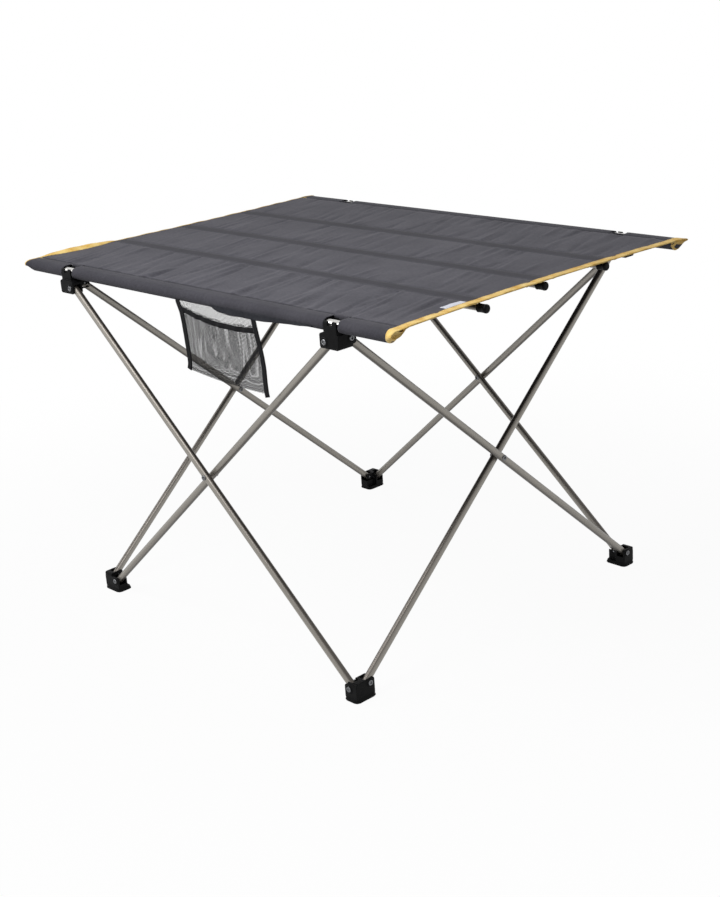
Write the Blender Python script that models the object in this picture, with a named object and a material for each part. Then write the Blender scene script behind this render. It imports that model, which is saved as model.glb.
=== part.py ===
"""Folding camp table. Four scissor pairs of tube legs join four nylon hubs to four nylon feet.
The hubs cradle two long poles, and a fabric top with a mesh pocket is stretched between the poles.
Metres, +Z up. X runs along the sleeves, the front with the pocket faces -Y, the floor is Z = 0."""
import math

import bmesh
import bpy
from mathutils import Matrix, Vector

# Overall sizes
TABLE_LENGTH = 0.735        # over the two end bindings
FABRIC_HEIGHT = 0.487       # floor to the top of the fabric
CORNER_INSET = 0.1005       # end of a binding to the middle of the left or right leg plane
CORNER_Y = 0.267            # middle of the front and back leg planes, and the pole axes

# Legs and their pivots
LEG_RADIUS = 0.005
LEG_WALL = 0.0008
LEG_LAYER = 0.0053          # leg axis to the middle of its leg plane
LEG_OVERHANG = 0.007        # pivot to the end of the tube
PIN_INSET = 0.011           # pivot to the corner, along the side
HUB_PIN_DROP = 0.027        # top of the fabric to the front and back legs' hub pivots
FOOT_PIN_Z = 0.016          # front and back legs
SIDE_LIFT = 0.004           # the left and right legs pivot this much higher
FOLD_ANGLE = math.radians(45)

# Rivets
RIVET_RADIUS = 0.0020
RIVET_HOLE_RADIUS = 0.0023
RIVET_HEAD_RADIUS = 0.0038
RIVET_HEAD_HEIGHT = 0.0013
RIVET_TAIL_DEPTH = 0.0008   # tail of a hub or foot rivet below the inner face
RIVET_SIDES = 8

# Clevis slots in the hubs and feet
SLOT_CLEARANCE = 0.0004     # each side of a leg
CHEEK = 0.0026              # wall outside a slot
EAR_RADIUS = 0.0075         # pivot to the end of an ear

# Hubs
HUB_BOTTOM_DROP = 0.0075    # pivot to the underside
HUB_ROOF = 0.0016           # material over a slot
HUB_SHOULDER = 0.0086       # pole axis to where the side ear may rise past the sleeve
CRADLE_LENGTH = 0.022       # along the pole
CRADLE_WALL = 0.0030
FINGER_GAP = 0.007          # between the two fingers of a wall
FINGER_GAP_DEPTH = 0.006
FINGER_TOP_DROP = 0.0012    # top of the fabric to the finger tips

# Feet
FOOT_CHEEK_RISE = 0.0060    # pivot to the top of a cheek
SKIRT_HEIGHT = 0.0050
SKIRT_FLARE = 0.0014

# Poles
POLE_RADIUS = 0.0065
POLE_WALL = 0.0010
POLE_INSET = 0.0155         # end of a binding to the end of the tube
SWAGE_LENGTH = 0.040        # reduced end of the left section inside the right one
CAP_FLANGE = 0.0030
CAP_STEM = 0.012

# Fabric top
FABRIC = 0.0012
SLEEVE_CLEARANCE = 0.0004
SLEEVE_WALL = 0.0011
SEAM_INSET = 0.0145         # pole axis to the sleeve's seam
END_BOW = 0.010             # how far the end edges curve in at the middle
NOTCH_LENGTH = 0.024        # gap in the sleeve at a hub
NOTCH_INSET = 0.0115        # pole axis to the inner edge of the gap

# Stiffener rods and their fabric channels
ROD_PITCH = 0.120
ROD_RADIUS = 0.0040
ROD_WALL = 0.0010
ROD_INSET = 0.0143          # end of a binding to the end of a rod
ROD_DROP = 0.0083           # top of the fabric to the rod axis
FRONT_ROD_SHIFT = 0.0117    # the front rod sits this far to the right
CHANNEL_INSET = 0.0282      # end of a rod to the end of its channel
CHANNEL_SEAM = 0.011        # rod axis to each seam of its channel
CHANNEL_CLEARANCE = 0.0004
CHANNEL_WALL = 0.0008
STITCH_WIDTH = 0.0010       # dip in the top of the fabric along a channel's seam
STITCH_DEPTH = 0.0002
END_DIP = 0.0003            # the sheet is this much lower under the bindings
ROD_CAP_LENGTH = 0.014
ROD_CAP_WALL = 0.0012
ROD_CAP_END = 0.0020
ROD_CAP_ROUND = 0.0010

# End bindings
BINDING_WIDTH = 0.012
BINDING_WALL = 0.0008

# Mesh pocket under the front sleeve
POCKET_LEFT = -0.0225
POCKET_RIGHT = 0.1325
POCKET_LEFT_LEAN = 0.0100   # how far each side leans to the right on its way down
POCKET_RIGHT_LEAN = 0.0140
POCKET_DROP_LEFT = 0.105    # top of the fabric to the bottom of the pocket
POCKET_DROP_RIGHT = 0.1125
POCKET_DEPTH = 0.0070
POCKET_WALL = 0.0010
POCKET_OUTSET = 0.0058      # pole axis to the front of the pocket
POCKET_FOLD = 0.0007
POCKET_FOLDS = 5
MOUTH_DROP_LEFT = 0.020     # top of the fabric to the edge of the mouth
MOUTH_DROP_RIGHT = 0.028
MOUTH_SAG = 0.0065
TAPE_WIDTH = 0.007
TAPE = 0.0008
TAPE_TAIL = 0.0050

# Sleeve flap beside the pocket
FLAP_LEFT = 0.047
FLAP_CURVE = 0.036          # length of its curved left end
FLAP_LEVEL_END = 0.135      # where its lower edge starts to rise
FLAP_STOP = 0.031           # middle of the right hub to the flap's right end
FLAP_DROP = 0.0110          # pole axis to the flap's lower edge
FLAP_END_DROP = 0.0045      # the same at its right end
FLAP_RISE = 0.0025          # pole axis to the flap's upper edge, below it
FLAP = 0.0010

# Blank tag beside the right binding
TAG_WIDTH = 0.0105
TAG_LENGTH = 0.035
TAG_CENTRE_Y = -0.1545
TAG = 0.0005

GAP = 0.0003                # between pieces that touch
STEP = 0.0002               # small step in a moulding where two blocks meet
MOULDED_ROUND = 0.0025      # corners of the ears and cheeks
SKIRT_ROUND = 0.0040
SEWN_ROUND = 0.0010         # corners of the tag and of the tape's tail
ROUND_SIDES = 12

# Values that follow from the sizes above
CORNER_X = TABLE_LENGTH / 2 - CORNER_INSET
HUB_PIN_Z = FABRIC_HEIGHT - HUB_PIN_DROP
POLE_HALF = TABLE_LENGTH / 2 - POLE_INSET
ROD_HALF = TABLE_LENGTH / 2 - ROD_INSET
CHANNEL_HALF = ROD_HALF - CHANNEL_INSET
FLAP_RIGHT = CORNER_X - FLAP_STOP
POCKET_FRONT = CORNER_Y + POCKET_OUTSET
POCKET_BOTTOM_LEFT = FABRIC_HEIGHT - POCKET_DROP_LEFT
POCKET_BOTTOM_RIGHT = FABRIC_HEIGHT - POCKET_DROP_RIGHT
MOUTH_LEFT_Z = FABRIC_HEIGHT - MOUTH_DROP_LEFT
MOUTH_RIGHT_Z = FABRIC_HEIGHT - MOUTH_DROP_RIGHT
POLE_Z = FABRIC_HEIGHT - SLEEVE_WALL - SLEEVE_CLEARANCE - POLE_RADIUS
SLEEVE_RADIUS = POLE_RADIUS + SLEEVE_CLEARANCE + SLEEVE_WALL
TOP_HALF_WIDTH = CORNER_Y + SLEEVE_RADIUS
PIN_X = CORNER_X - PIN_INSET
PIN_Y = CORNER_Y - PIN_INSET
LEG_RISE = HUB_PIN_Z - FOOT_PIN_Z
SLOT_HALF = LEG_RADIUS + SLOT_CLEARANCE
EAR_HALF = SLOT_HALF + CHEEK
SLOT_RADIUS = math.hypot(LEG_OVERHANG, LEG_RADIUS) + SLOT_CLEARANCE
CUT = 0.05                  # how far an open-ended cutter runs past the part

CORNERS = {
    "front_left": (-1, -1),
    "front_right": (1, -1),
    "back_right": (1, 1),
    "back_left": (-1, 1),
}
# Each leg: side of the table, layer, hub corner, foot corner
LEGS = [
    ("front", "outer", "front_left", "front_right"),
    ("front", "inner", "front_right", "front_left"),
    ("right", "outer", "front_right", "back_right"),
    ("right", "inner", "back_right", "front_right"),
    ("back", "outer", "back_right", "back_left"),
    ("back", "inner", "back_left", "back_right"),
    ("left", "outer", "back_left", "front_left"),
    ("left", "inner", "front_left", "back_left"),
]


def linear(channel):
    """One sRGB channel from 0 to 1 as a linear value."""
    return channel / 12.92 if channel <= 0.04045 else ((channel + 0.055) / 1.055) ** 2.4


def make_material(name, hex_colour, roughness, metallic=0.0):
    """Principled material of one plain colour."""
    material = bpy.data.materials.new(name)
    material.use_nodes = True
    shader = material.node_tree.nodes["Principled BSDF"]
    channels = [int(hex_colour[i:i + 2], 16) / 255 for i in (1, 3, 5)]
    shader.inputs["Base Color"].default_value = [linear(c) for c in channels] + [1.0]
    shader.inputs["Roughness"].default_value = roughness
    shader.inputs["Metallic"].default_value = metallic
    return material


def place(name, mesh, look, parent, location=(0, 0, 0), turn=None):
    """Put a mesh in the scene as one named sub-part of a moving body."""
    colour, roughness, metallic = look
    mesh.materials.clear()
    mesh.materials.append(make_material(name, colour, roughness, metallic))
    mesh.shade_smooth()
    mesh.set_sharp_from_angle(angle=math.radians(35))
    piece = bpy.data.objects.new(name, mesh)
    bpy.context.collection.objects.link(piece)
    matrix = Matrix.Translation(location) @ (turn or Matrix.Identity(4))
    piece.parent = parent
    piece.matrix_local = Matrix.Translation(-parent.location) @ matrix
    return piece


def body_axis(name, location):
    """Empty on a joint's axis, which carries the pieces of one moving body."""
    empty = bpy.data.objects.new(name, None)
    empty.location = location
    empty.empty_display_size = 0.03
    bpy.context.collection.objects.link(empty)
    return empty


def finished(bm, name):
    """Close a bmesh off into a mesh with its faces pointing out."""
    bmesh.ops.remove_doubles(bm, verts=bm.verts, dist=0.000002)
    bmesh.ops.recalc_face_normals(bm, faces=bm.faces)
    mesh = bpy.data.meshes.new(name)
    bm.to_mesh(mesh)
    bm.free()
    return mesh


def prism(loops, axis, low, high):
    """Solid between two parallel planes. The loops are the outline and its holes."""
    def point(first, second):
        if axis == "X":
            return (low, first, second)
        if axis == "Y":
            return (first, low, second)
        return (first, second, low)

    bm = bmesh.new()
    edges = []
    for loop in loops:
        ring = [bm.verts.new(point(*pair)) for pair in loop]
        edges += [bm.edges.new((ring[i - 1], ring[i])) for i in range(len(ring))]
    filled = bmesh.ops.triangle_fill(bm, use_beauty=True, use_dissolve=False, edges=edges)
    faces = [item for item in filled["geom"] if isinstance(item, bmesh.types.BMFace)]
    grown = bmesh.ops.extrude_face_region(bm, geom=faces)
    moved = [item for item in grown["geom"] if isinstance(item, bmesh.types.BMVert)]
    shift = Vector(point(0, 0)) * 0
    shift["XYZ".index(axis)] = high - low
    bmesh.ops.translate(bm, verts=moved, vec=shift)
    return finished(bm, "prism")


def box(low, high):
    """Box between two opposite corners."""
    outline = [(low[0], low[1]), (high[0], low[1]), (high[0], high[1]), (low[0], high[1])]
    return prism([outline], "Z", low[2], high[2])


def turned(profile, sides):
    """Turn a profile of (radius, height) pairs about the Z axis."""
    bm = bmesh.new()
    ring = [bm.verts.new((radius, 0, height)) for radius, height in profile]
    pairs = list(zip(ring, ring[1:]))
    if profile[0][0] > 0:
        pairs.append((ring[-1], ring[0]))
    edges = [bm.edges.new(pair) for pair in pairs]
    bmesh.ops.spin(bm, geom=ring + edges, cent=(0, 0, 0), axis=(0, 0, 1),
                   angle=2 * math.pi, steps=sides, use_merge=True)
    return finished(bm, "turned")


def combined(base, others, operation):
    """Join the base mesh with the others, or cut it by them, one after another."""
    body = bpy.data.objects.new("body", base)
    bpy.context.collection.objects.link(body)
    helpers = []
    for mesh in others:
        helper = bpy.data.objects.new("helper", mesh)
        helper.hide_render = True
        helper.display_type = "WIRE"
        bpy.context.collection.objects.link(helper)
        modifier = body.modifiers.new("Boolean", "BOOLEAN")
        modifier.operation = operation
        modifier.object = helper
        helpers.append(helper)
    graph = bpy.context.evaluated_depsgraph_get()
    result = bpy.data.meshes.new_from_object(body.evaluated_get(graph))
    for item in [body] + helpers:
        bpy.data.objects.remove(item)
    return result


def transformed(mesh, matrix):
    """Copy of a mesh, moved by a matrix and kept the right way out if it is mirrored."""
    copy = mesh.copy()
    copy.transform(matrix)
    if matrix.determinant() < 0:
        copy.flip_normals()
    return copy


def arc(centre, radius, start, end, steps):
    """Points on a round stretch of an outline, from one angle to another in degrees."""
    angles = [math.radians(start + (end - start) * i / steps) for i in range(steps + 1)]
    return [(centre[0] + radius * math.cos(a), centre[1] + radius * math.sin(a)) for a in angles]


def between(start, end, pieces):
    """Points that divide a straight stretch, without its two ends."""
    shares = [i / pieces for i in range(1, pieces)]
    return [(start[0] + (end[0] - start[0]) * s, start[1] + (end[1] - start[1]) * s) for s in shares]


def rounded_rectangle(low, high, radius, steps=2):
    """Outline of a rectangle with round corners."""
    centres = [(high[0] - radius, high[1] - radius), (low[0] + radius, high[1] - radius),
               (low[0] + radius, low[1] + radius), (high[0] - radius, low[1] + radius)]
    points = []
    for quarter, centre in enumerate(centres):
        points += arc(centre, radius, 90 * quarter, 90 * quarter + 90, steps)
    return points


def along(axis):
    """Turn that lays the Z axis of a mesh along another axis."""
    if axis == "X":
        return Matrix.Rotation(math.radians(90), 4, "Y")
    if axis == "Y":
        return Matrix.Rotation(math.radians(-90), 4, "X")
    return Matrix.Identity(4)


def pin_cutter(axis, centre, radius):
    """Cylinder that drills a pivot hole right through a part."""
    drill = turned([(0, -CUT), (radius, -CUT), (radius, CUT), (0, CUT)], RIVET_SIDES)
    return transformed(drill, Matrix.Translation(centre) @ along(axis))


def leg_angle(axis):
    """Angle from the vertical of the open legs whose pivots turn about an axis."""
    return math.atan2(2 * (PIN_X if axis == "Y" else PIN_Y), LEG_RISE)


def leg_length(axis):
    """Distance from the foot pivot to the hub pivot of the legs that turn about an axis."""
    return math.hypot(2 * (PIN_X if axis == "Y" else PIN_Y), LEG_RISE)


# Corner blocks are drawn in a corner frame: U runs in from the corner along X,
# V runs in from the corner along Y, and Z is the height above the floor.

def slot_outline(pin_z, opens, axis):
    """Room that a leg needs round its pivot as it swings. It opens up (1) or down (-1)."""
    steep = 90 - math.degrees(leg_angle(axis) - FOLD_ANGLE)
    flat = 90 - math.degrees(leg_angle(axis))
    side = math.degrees(math.asin((SLOT_HALF + GAP / 3) / SLOT_RADIUS))
    bend = arc((0, 0), SLOT_RADIUS, -flat + side, 360 - steep - side, 11)
    reach = [(bend[-1][0] + CUT * math.cos(math.radians(steep)),
              bend[-1][1] - CUT * math.sin(math.radians(steep))),
             (bend[0][0] + CUT * math.cos(math.radians(flat)),
              bend[0][1] - CUT * math.sin(math.radians(flat)))]
    return [(PIN_INSET + u, pin_z - opens * z) for u, z in bend + reach]


def clevis_cutters(front_layer, side_layer, front_z, side_z, opens):
    """Slots and pivot holes of the two legs that meet in a corner block."""
    front_mid = front_layer * LEG_LAYER
    side_mid = side_layer * LEG_LAYER
    front = prism([slot_outline(front_z, opens, "Y")], "Y", front_mid - SLOT_HALF, front_mid + SLOT_HALF)
    side = prism([slot_outline(side_z, opens, "X")], "X", side_mid - SLOT_HALF, side_mid + SLOT_HALF)
    front_hole = pin_cutter("Y", (PIN_INSET, 0, front_z), RIVET_HOLE_RADIUS)
    side_hole = pin_cutter("X", (0, PIN_INSET, side_z), RIVET_HOLE_RADIUS)
    return [front, side, front_hole, side_hole]


def ear(low, high, bottom, top, sides, axis):
    """Block round one slot, rounded where it ends."""
    return prism([rounded_rectangle((low, bottom), (high, top), MOULDED_ROUND)], axis, sides[0], sides[1])


def cradle_face():
    """Distance from the pole axis to the outer face of a cradle wall."""
    return POLE_RADIUS + GAP + CRADLE_WALL


def outer_faces(front_layer, side_layer):
    """Outer faces of a hub: V of its front or back face, and U of its side face."""
    front_face = min(front_layer * LEG_LAYER - EAR_HALF, -cradle_face() - STEP)
    side_face = min(side_layer * LEG_LAYER - EAR_HALF, -CRADLE_LENGTH / 2 - STEP)
    return front_face, side_face


def hub_mesh(front_layer, side_layer):
    """Nylon hub: two clevis ears below, and a cradle for the pole above with two pairs of fingers."""
    side_pin_z = HUB_PIN_Z + SIDE_LIFT
    bottom = HUB_PIN_Z - HUB_BOTTOM_DROP
    side_bottom = side_pin_z - HUB_BOTTOM_DROP
    ear_end = PIN_INSET + EAR_RADIUS
    roof = HUB_PIN_Z + SLOT_RADIUS + HUB_ROOF
    side_roof = side_pin_z + SLOT_RADIUS + HUB_ROOF
    tip = FABRIC_HEIGHT - FINGER_TOP_DROP
    face = cradle_face()
    front_face, side_face = outer_faces(front_layer, side_layer)
    front_sides = (front_face, front_layer * LEG_LAYER + EAR_HALF)
    side_sides = (side_face, side_layer * LEG_LAYER + EAR_HALF)
    front_ear = ear(side_face + STEP, ear_end, bottom, roof, front_sides, "Y")
    side_ear = ear(front_face + STEP, ear_end, side_bottom, roof - STEP, side_sides, "X")
    shoulder = ear(HUB_SHOULDER, ear_end - STEP, side_pin_z, side_roof,
                   (side_sides[0] + STEP, side_sides[1] - STEP), "X")
    half = CRADLE_LENGTH / 2
    cradle = ear(-face, face, roof - CRADLE_WALL * 2, tip, (-half, half), "X")
    solid = combined(front_ear, [side_ear, shoulder, cradle], "UNION")
    trough = arc((0, POLE_Z), POLE_RADIUS + GAP, -180, 0, 10)
    trough += [(POLE_RADIUS + 3 * GAP, tip + GAP), (-POLE_RADIUS - 3 * GAP, tip + GAP)]
    cuts = clevis_cutters(front_layer, side_layer, HUB_PIN_Z, side_pin_z, -1)
    cuts.append(prism([trough], "X", -CUT, CUT))
    cuts.append(box((-FINGER_GAP / 2, -CUT, tip - FINGER_GAP_DEPTH), (FINGER_GAP / 2, CUT, tip + CUT)))
    return combined(solid, cuts, "DIFFERENCE")


def foot_mesh(front_layer, side_layer):
    """Nylon foot: a flat base with a flared skirt, and two clevises that open upward."""
    side_pin_z = FOOT_PIN_Z + SIDE_LIFT
    ear_end = PIN_INSET + EAR_RADIUS
    front_sides = (front_layer * LEG_LAYER - EAR_HALF, front_layer * LEG_LAYER + EAR_HALF)
    side_sides = (side_layer * LEG_LAYER - EAR_HALF, side_layer * LEG_LAYER + EAR_HALF)
    low = SKIRT_HEIGHT / 2
    front_ear = ear(side_sides[0] + STEP, ear_end, low, FOOT_PIN_Z + FOOT_CHEEK_RISE, front_sides, "Y")
    side_ear = ear(front_sides[0] + STEP, ear_end - STEP, low + STEP, side_pin_z + FOOT_CHEEK_RISE,
                   side_sides, "X")
    base = skirt((side_sides[0] - GAP, front_sides[0] - GAP), (ear_end + GAP, ear_end + GAP))
    solid = combined(base, [front_ear, side_ear], "UNION")
    cuts = clevis_cutters(front_layer, side_layer, FOOT_PIN_Z, side_pin_z, 1)
    return combined(solid, cuts, "DIFFERENCE")


def skirt(low, high):
    """Base plate of a foot, wider at the floor than at its top."""
    bm = bmesh.new()
    rings = []
    for grow, height in ((SKIRT_FLARE, 0), (SKIRT_FLARE, SKIRT_HEIGHT * 0.3), (0, SKIRT_HEIGHT)):
        outline = rounded_rectangle((low[0] - grow, low[1] - grow), (high[0] + grow, high[1] + grow),
                                    SKIRT_ROUND + grow)
        rings.append([bm.verts.new((u, v, height)) for u, v in outline])
    for lower, upper in zip(rings, rings[1:]):
        for i in range(len(lower)):
            bm.faces.new((lower[i - 1], lower[i], upper[i], upper[i - 1]))
    bm.faces.new(rings[0])
    bm.faces.new(rings[-1])
    return finished(bm, "skirt")


def corner_matrix(corner):
    """Corner frame to the table's own directions, seen from that corner."""
    side_x, side_y = CORNERS[corner]
    return Matrix.Diagonal((-side_x, -side_y, 1, 1))


def corner_place(corner):
    """Where the corner frame of a hub or foot starts."""
    side_x, side_y = CORNERS[corner]
    return Vector((side_x * CORNER_X, side_y * CORNER_Y, 0))


def hub_layers(corner):
    """Layers, inner 1 or outer -1, of the front or back leg and of the side leg at a hub."""
    side_x, side_y = CORNERS[corner]
    return -side_x * side_y, side_x * side_y


def foot_layers(corner):
    """Layers of the front or back leg and of the side leg at a foot."""
    front_layer, side_layer = hub_layers(corner)
    return -front_layer, -side_layer


def leg_mesh(length):
    """Tube along Z from its foot end, drilled for the foot, crossing and hub rivets."""
    bore = LEG_RADIUS - LEG_WALL
    low = -LEG_OVERHANG
    high = length + LEG_OVERHANG
    tube = turned([(bore, low), (LEG_RADIUS, low), (LEG_RADIUS, high), (bore, high)], ROUND_SIDES)
    heights = (0, length / 2, length)
    drills = [pin_cutter("Y", (0, 0, height), RIVET_HOLE_RADIUS) for height in heights]
    return combined(tube, drills, "DIFFERENCE")


def rivet_head(seat):
    """Half profile of a domed head whose flat side is at a height along the rivet."""
    edge = seat + RIVET_HEAD_HEIGHT * 0.75
    return [(RIVET_HEAD_RADIUS, seat), (RIVET_HEAD_RADIUS * 0.72, edge), (0, seat + RIVET_HEAD_HEIGHT)]


def crossing_rivet():
    """Rivet along Z through two crossing legs, with a domed head on each."""
    seat = LEG_LAYER + LEG_RADIUS + GAP
    half = [(RIVET_RADIUS, seat)] + rivet_head(seat)
    return turned([(radius, -height) for radius, height in reversed(half)] + half, RIVET_SIDES)


def clevis_rivet(outer, inner):
    """Rivet along Z through a hub or foot: a domed head outside and a flush tail inside."""
    seat = outer + GAP
    tail = inner - RIVET_TAIL_DEPTH
    return turned([(0, -tail), (RIVET_RADIUS, -tail), (RIVET_RADIUS, seat)] + rivet_head(seat), RIVET_SIDES)


def leg_ends(side, layer, hub, foot):
    """Pivot points of a leg at its foot and its hub, and the axis that its pivots turn about."""
    inset = LEG_LAYER if layer == "inner" else -LEG_LAYER
    hub_x, hub_y = CORNERS[hub]
    foot_x, foot_y = CORNERS[foot]
    if side in ("front", "back"):
        y = hub_y * (CORNER_Y - inset)
        return Vector((foot_x * PIN_X, y, FOOT_PIN_Z)), Vector((hub_x * PIN_X, y, HUB_PIN_Z)), "Y"
    x = hub_x * (CORNER_X - inset)
    low = Vector((x, foot_y * PIN_Y, FOOT_PIN_Z + SIDE_LIFT))
    return low, Vector((x, hub_y * PIN_Y, HUB_PIN_Z + SIDE_LIFT)), "X"


def leg_turn(start, end, axis):
    """Rotation that lays a tube from its foot pivot to its hub pivot."""
    up = (end - start).normalized()
    pin = Vector((0, 1, 0)) if axis == "Y" else Vector((1, 0, 0))
    return Matrix((pin.cross(up), pin, up)).transposed().to_4x4()


def pole_section(left):
    """Half of a long pole along Z, from its outer end. The left half has the reduced end."""
    bore = POLE_RADIUS - POLE_WALL
    slim = bore - GAP
    profile = [(bore, 0), (POLE_RADIUS, 0), (POLE_RADIUS, POLE_HALF - GAP / 2)]
    if left:
        tail = POLE_HALF + SWAGE_LENGTH
        profile += [(slim, POLE_HALF), (slim, tail), (slim - POLE_WALL, tail),
                    (slim - POLE_WALL, POLE_HALF - POLE_WALL)]
    else:
        profile.append((bore, POLE_HALF - GAP / 2))
    return turned(profile, ROUND_SIDES)


def pole_cap():
    """Plug along Z for the end of a pole: a stem inside the tube and a rounded flange."""
    stem = POLE_RADIUS - POLE_WALL - GAP
    rim = CAP_FLANGE * 0.4
    profile = [(0, CAP_STEM), (stem, CAP_STEM), (stem, -GAP), (POLE_RADIUS, -GAP),
               (POLE_RADIUS, -GAP - rim), (POLE_RADIUS * 0.7, -GAP - CAP_FLANGE), (0, -GAP - CAP_FLANGE)]
    return turned(profile, ROUND_SIDES)


def rod_mesh():
    """Stiffener tube along Z about its middle."""
    bore = ROD_RADIUS - ROD_WALL
    return turned([(bore, -ROD_HALF), (ROD_RADIUS, -ROD_HALF), (ROD_RADIUS, ROD_HALF),
                   (bore, ROD_HALF)], 12)


def rod_cap():
    """Cup along Z that slips over the end of a stiffener rod."""
    bore = ROD_RADIUS + GAP
    wall = bore + ROD_CAP_WALL
    tip = ROD_CAP_END + GAP
    back = tip - ROD_CAP_LENGTH
    profile = [(0, tip), (wall * 0.8, tip), (wall, tip - ROD_CAP_ROUND), (wall, back), (bore, back),
               (bore, GAP), (0, GAP)]
    return turned(profile, 12)


def sleeve_side(grow):
    """Half outline of the top seen from its end: the front sleeve, from its crown round to its seam."""
    radius = SLEEVE_RADIUS + grow
    height = SLEEVE_RADIUS - FABRIC
    tangent = math.atan2(height, SEAM_INSET) - math.acos(SLEEVE_RADIUS / math.hypot(SEAM_INSET, height))
    seam = (radius - math.sin(tangent) * (height - grow)) / math.cos(tangent)
    bend = arc((-CORNER_Y, POLE_Z), radius, 90, 360 + math.degrees(tangent), 12)
    return bend + [(-CORNER_Y + seam, POLE_Z + height - grow)]


def channel_outline(middle, radius, seam, top):
    """Lower edge of a rod channel, from its right seam round under the rod to its left seam."""
    axis = FABRIC_HEIGHT - ROD_DROP
    height = top - axis
    lean = math.degrees(math.atan2(height, seam) - math.acos(radius / math.hypot(seam, height)))
    bend = arc((middle, axis), radius, 180 - lean, 360 + lean, 6)
    return [(middle - seam, top)] + bend + [(middle + seam, top)]


def top_edge(start, stop):
    """Points along the top of the sheet, with a stitched dip over each seam of the rod channels."""
    points = []
    half = STITCH_WIDTH / 2
    for middle in (ROD_PITCH, 0, -ROD_PITCH):
        for seam in (middle + CHANNEL_SEAM, middle - CHANNEL_SEAM):
            dip = [(seam + half, FABRIC_HEIGHT), (seam + half, FABRIC_HEIGHT - STITCH_DEPTH),
                   (seam - half, FABRIC_HEIGHT - STITCH_DEPTH), (seam - half, FABRIC_HEIGHT)]
            points += between(start, dip[0], 3) + dip
            start = dip[-1]
    return points + between(start, stop, 3)


def top_outline(grow, channels):
    """Outline of the top seen from its right end, grown outward by a small distance."""
    front = sleeve_side(grow)
    back = [(-y, z) for y, z in reversed(front)]
    under = FABRIC_HEIGHT - FABRIC - grow
    points = list(front)
    for middle in (-ROD_PITCH, 0, ROD_PITCH):
        start = points[-1]
        stop = (middle - CHANNEL_SEAM, under)
        points += between(start, stop, 3)
        if channels:
            radius = ROD_RADIUS + CHANNEL_CLEARANCE + CHANNEL_WALL
            points += channel_outline(middle, radius, CHANNEL_SEAM, under)
        else:
            points += [stop, (middle + CHANNEL_SEAM, under)]
    points += between(points[-1], back[0], 3)
    over = top_edge(back[-1], front[0]) if channels else between(back[-1], front[0], 12)
    return points + back + over


def bowed(mesh, sign):
    """Curve the end edges of the top inward, most of all at the middle."""
    bm = bmesh.new()
    bm.from_mesh(mesh)
    bmesh.ops.triangulate(bm, faces=bm.faces)
    mesh = finished(bm, mesh.name)
    for vertex in mesh.vertices:
        share = max(0, 1 - (vertex.co.y / TOP_HALF_WIDTH) ** 2)
        pull = sign if sign else math.copysign(1, vertex.co.x)
        vertex.co.x -= pull * END_BOW * share
    return mesh


def sleeve_bore():
    """Outline of the tunnel that the front pole fills."""
    radius = POLE_RADIUS + SLEEVE_CLEARANCE
    height = SLEEVE_RADIUS - FABRIC
    seam = SEAM_INSET - 2 * SLEEVE_WALL
    tangent = math.atan2(height, seam) - math.acos(radius / math.hypot(seam, height))
    bend = arc((-CORNER_Y, POLE_Z), radius, 90, 360 + math.degrees(tangent), 12)
    return bend + [(-CORNER_Y + seam, POLE_Z + height)]


def fabric_mesh():
    """The sewn top: a flat sheet with two pole sleeves, three rod channels and four gaps at the hubs."""
    under = FABRIC_HEIGHT - FABRIC
    bore = sleeve_bore()
    holes = [bore, [(-y, z) for y, z in bore]]
    for middle in (-ROD_PITCH, 0, ROD_PITCH):
        holes.append(channel_outline(middle, ROD_RADIUS + CHANNEL_CLEARANCE,
                                     CHANNEL_SEAM - 2 * CHANNEL_WALL, under))
    half = TABLE_LENGTH / 2 - BINDING_WALL - GAP
    ends = []
    for side_x in (-1, 1):
        inner, outer = sorted((side_x * (TABLE_LENGTH / 2 - BINDING_WIDTH - GAP), side_x * TABLE_LENGTH))
        ends.append(box((inner, -CORNER_Y - CUT, FABRIC_HEIGHT - END_DIP),
                        (outer, CORNER_Y + CUT, FABRIC_HEIGHT + CUT)))
    cloth = combined(prism([top_outline(0, True)] + holes, "X", -half, half), ends, "DIFFERENCE")
    cloth = bowed(cloth, 0)
    cuts = []
    for side_x in (-1, 1):
        inner, outer = sorted((side_x * CHANNEL_HALF, side_x * TABLE_LENGTH))
        reach = CHANNEL_SEAM + 2 * CHANNEL_WALL
        for middle in (-ROD_PITCH, 0, ROD_PITCH):
            cuts.append(box((inner, middle - reach, FABRIC_HEIGHT - CUT), (outer, middle + reach, under)))
        for side_y in (-1, 1):
            edges = sorted((side_y * (CORNER_Y - NOTCH_INSET), side_y * (CORNER_Y + CUT)))
            middle = side_x * CORNER_X
            cuts.append(box((middle - NOTCH_LENGTH / 2, edges[0], FABRIC_HEIGHT - CUT),
                            (middle + NOTCH_LENGTH / 2, edges[1], FABRIC_HEIGHT + CUT)))
    return combined(cloth, cuts, "DIFFERENCE")


def binding_mesh(side_x):
    """Amber tape over an end edge: it wraps the sheet and goes round both sleeve ends."""
    outer = side_x * TABLE_LENGTH / 2
    inner = outer - side_x * BINDING_WIDTH
    wall = outer - side_x * BINDING_WALL
    low, high = sorted((inner, outer))
    tape = bowed(prism([top_outline(GAP + BINDING_WALL, False)], "X", low, high), side_x)
    low, high = sorted((inner - side_x * BINDING_WIDTH, wall))
    pocket = bowed(prism([top_outline(GAP, False)], "X", low, high), side_x)
    drills = [pin_cutter("X", (outer, side_y * CORNER_Y, POLE_Z), POLE_RADIUS) for side_y in (-1, 1)]
    return combined(tape, [pocket] + drills, "DIFFERENCE")


def pocket_slope(x, z):
    """Lower the bottom of the pocket toward the right, and leave its top level."""
    top = pocket_top()
    share = (x - POCKET_LEFT) / (POCKET_RIGHT - POCKET_LEFT)
    depth = (top - z) / (top - POCKET_BOTTOM_LEFT)
    return z - depth * share * (POCKET_BOTTOM_LEFT - POCKET_BOTTOM_RIGHT)


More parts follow.
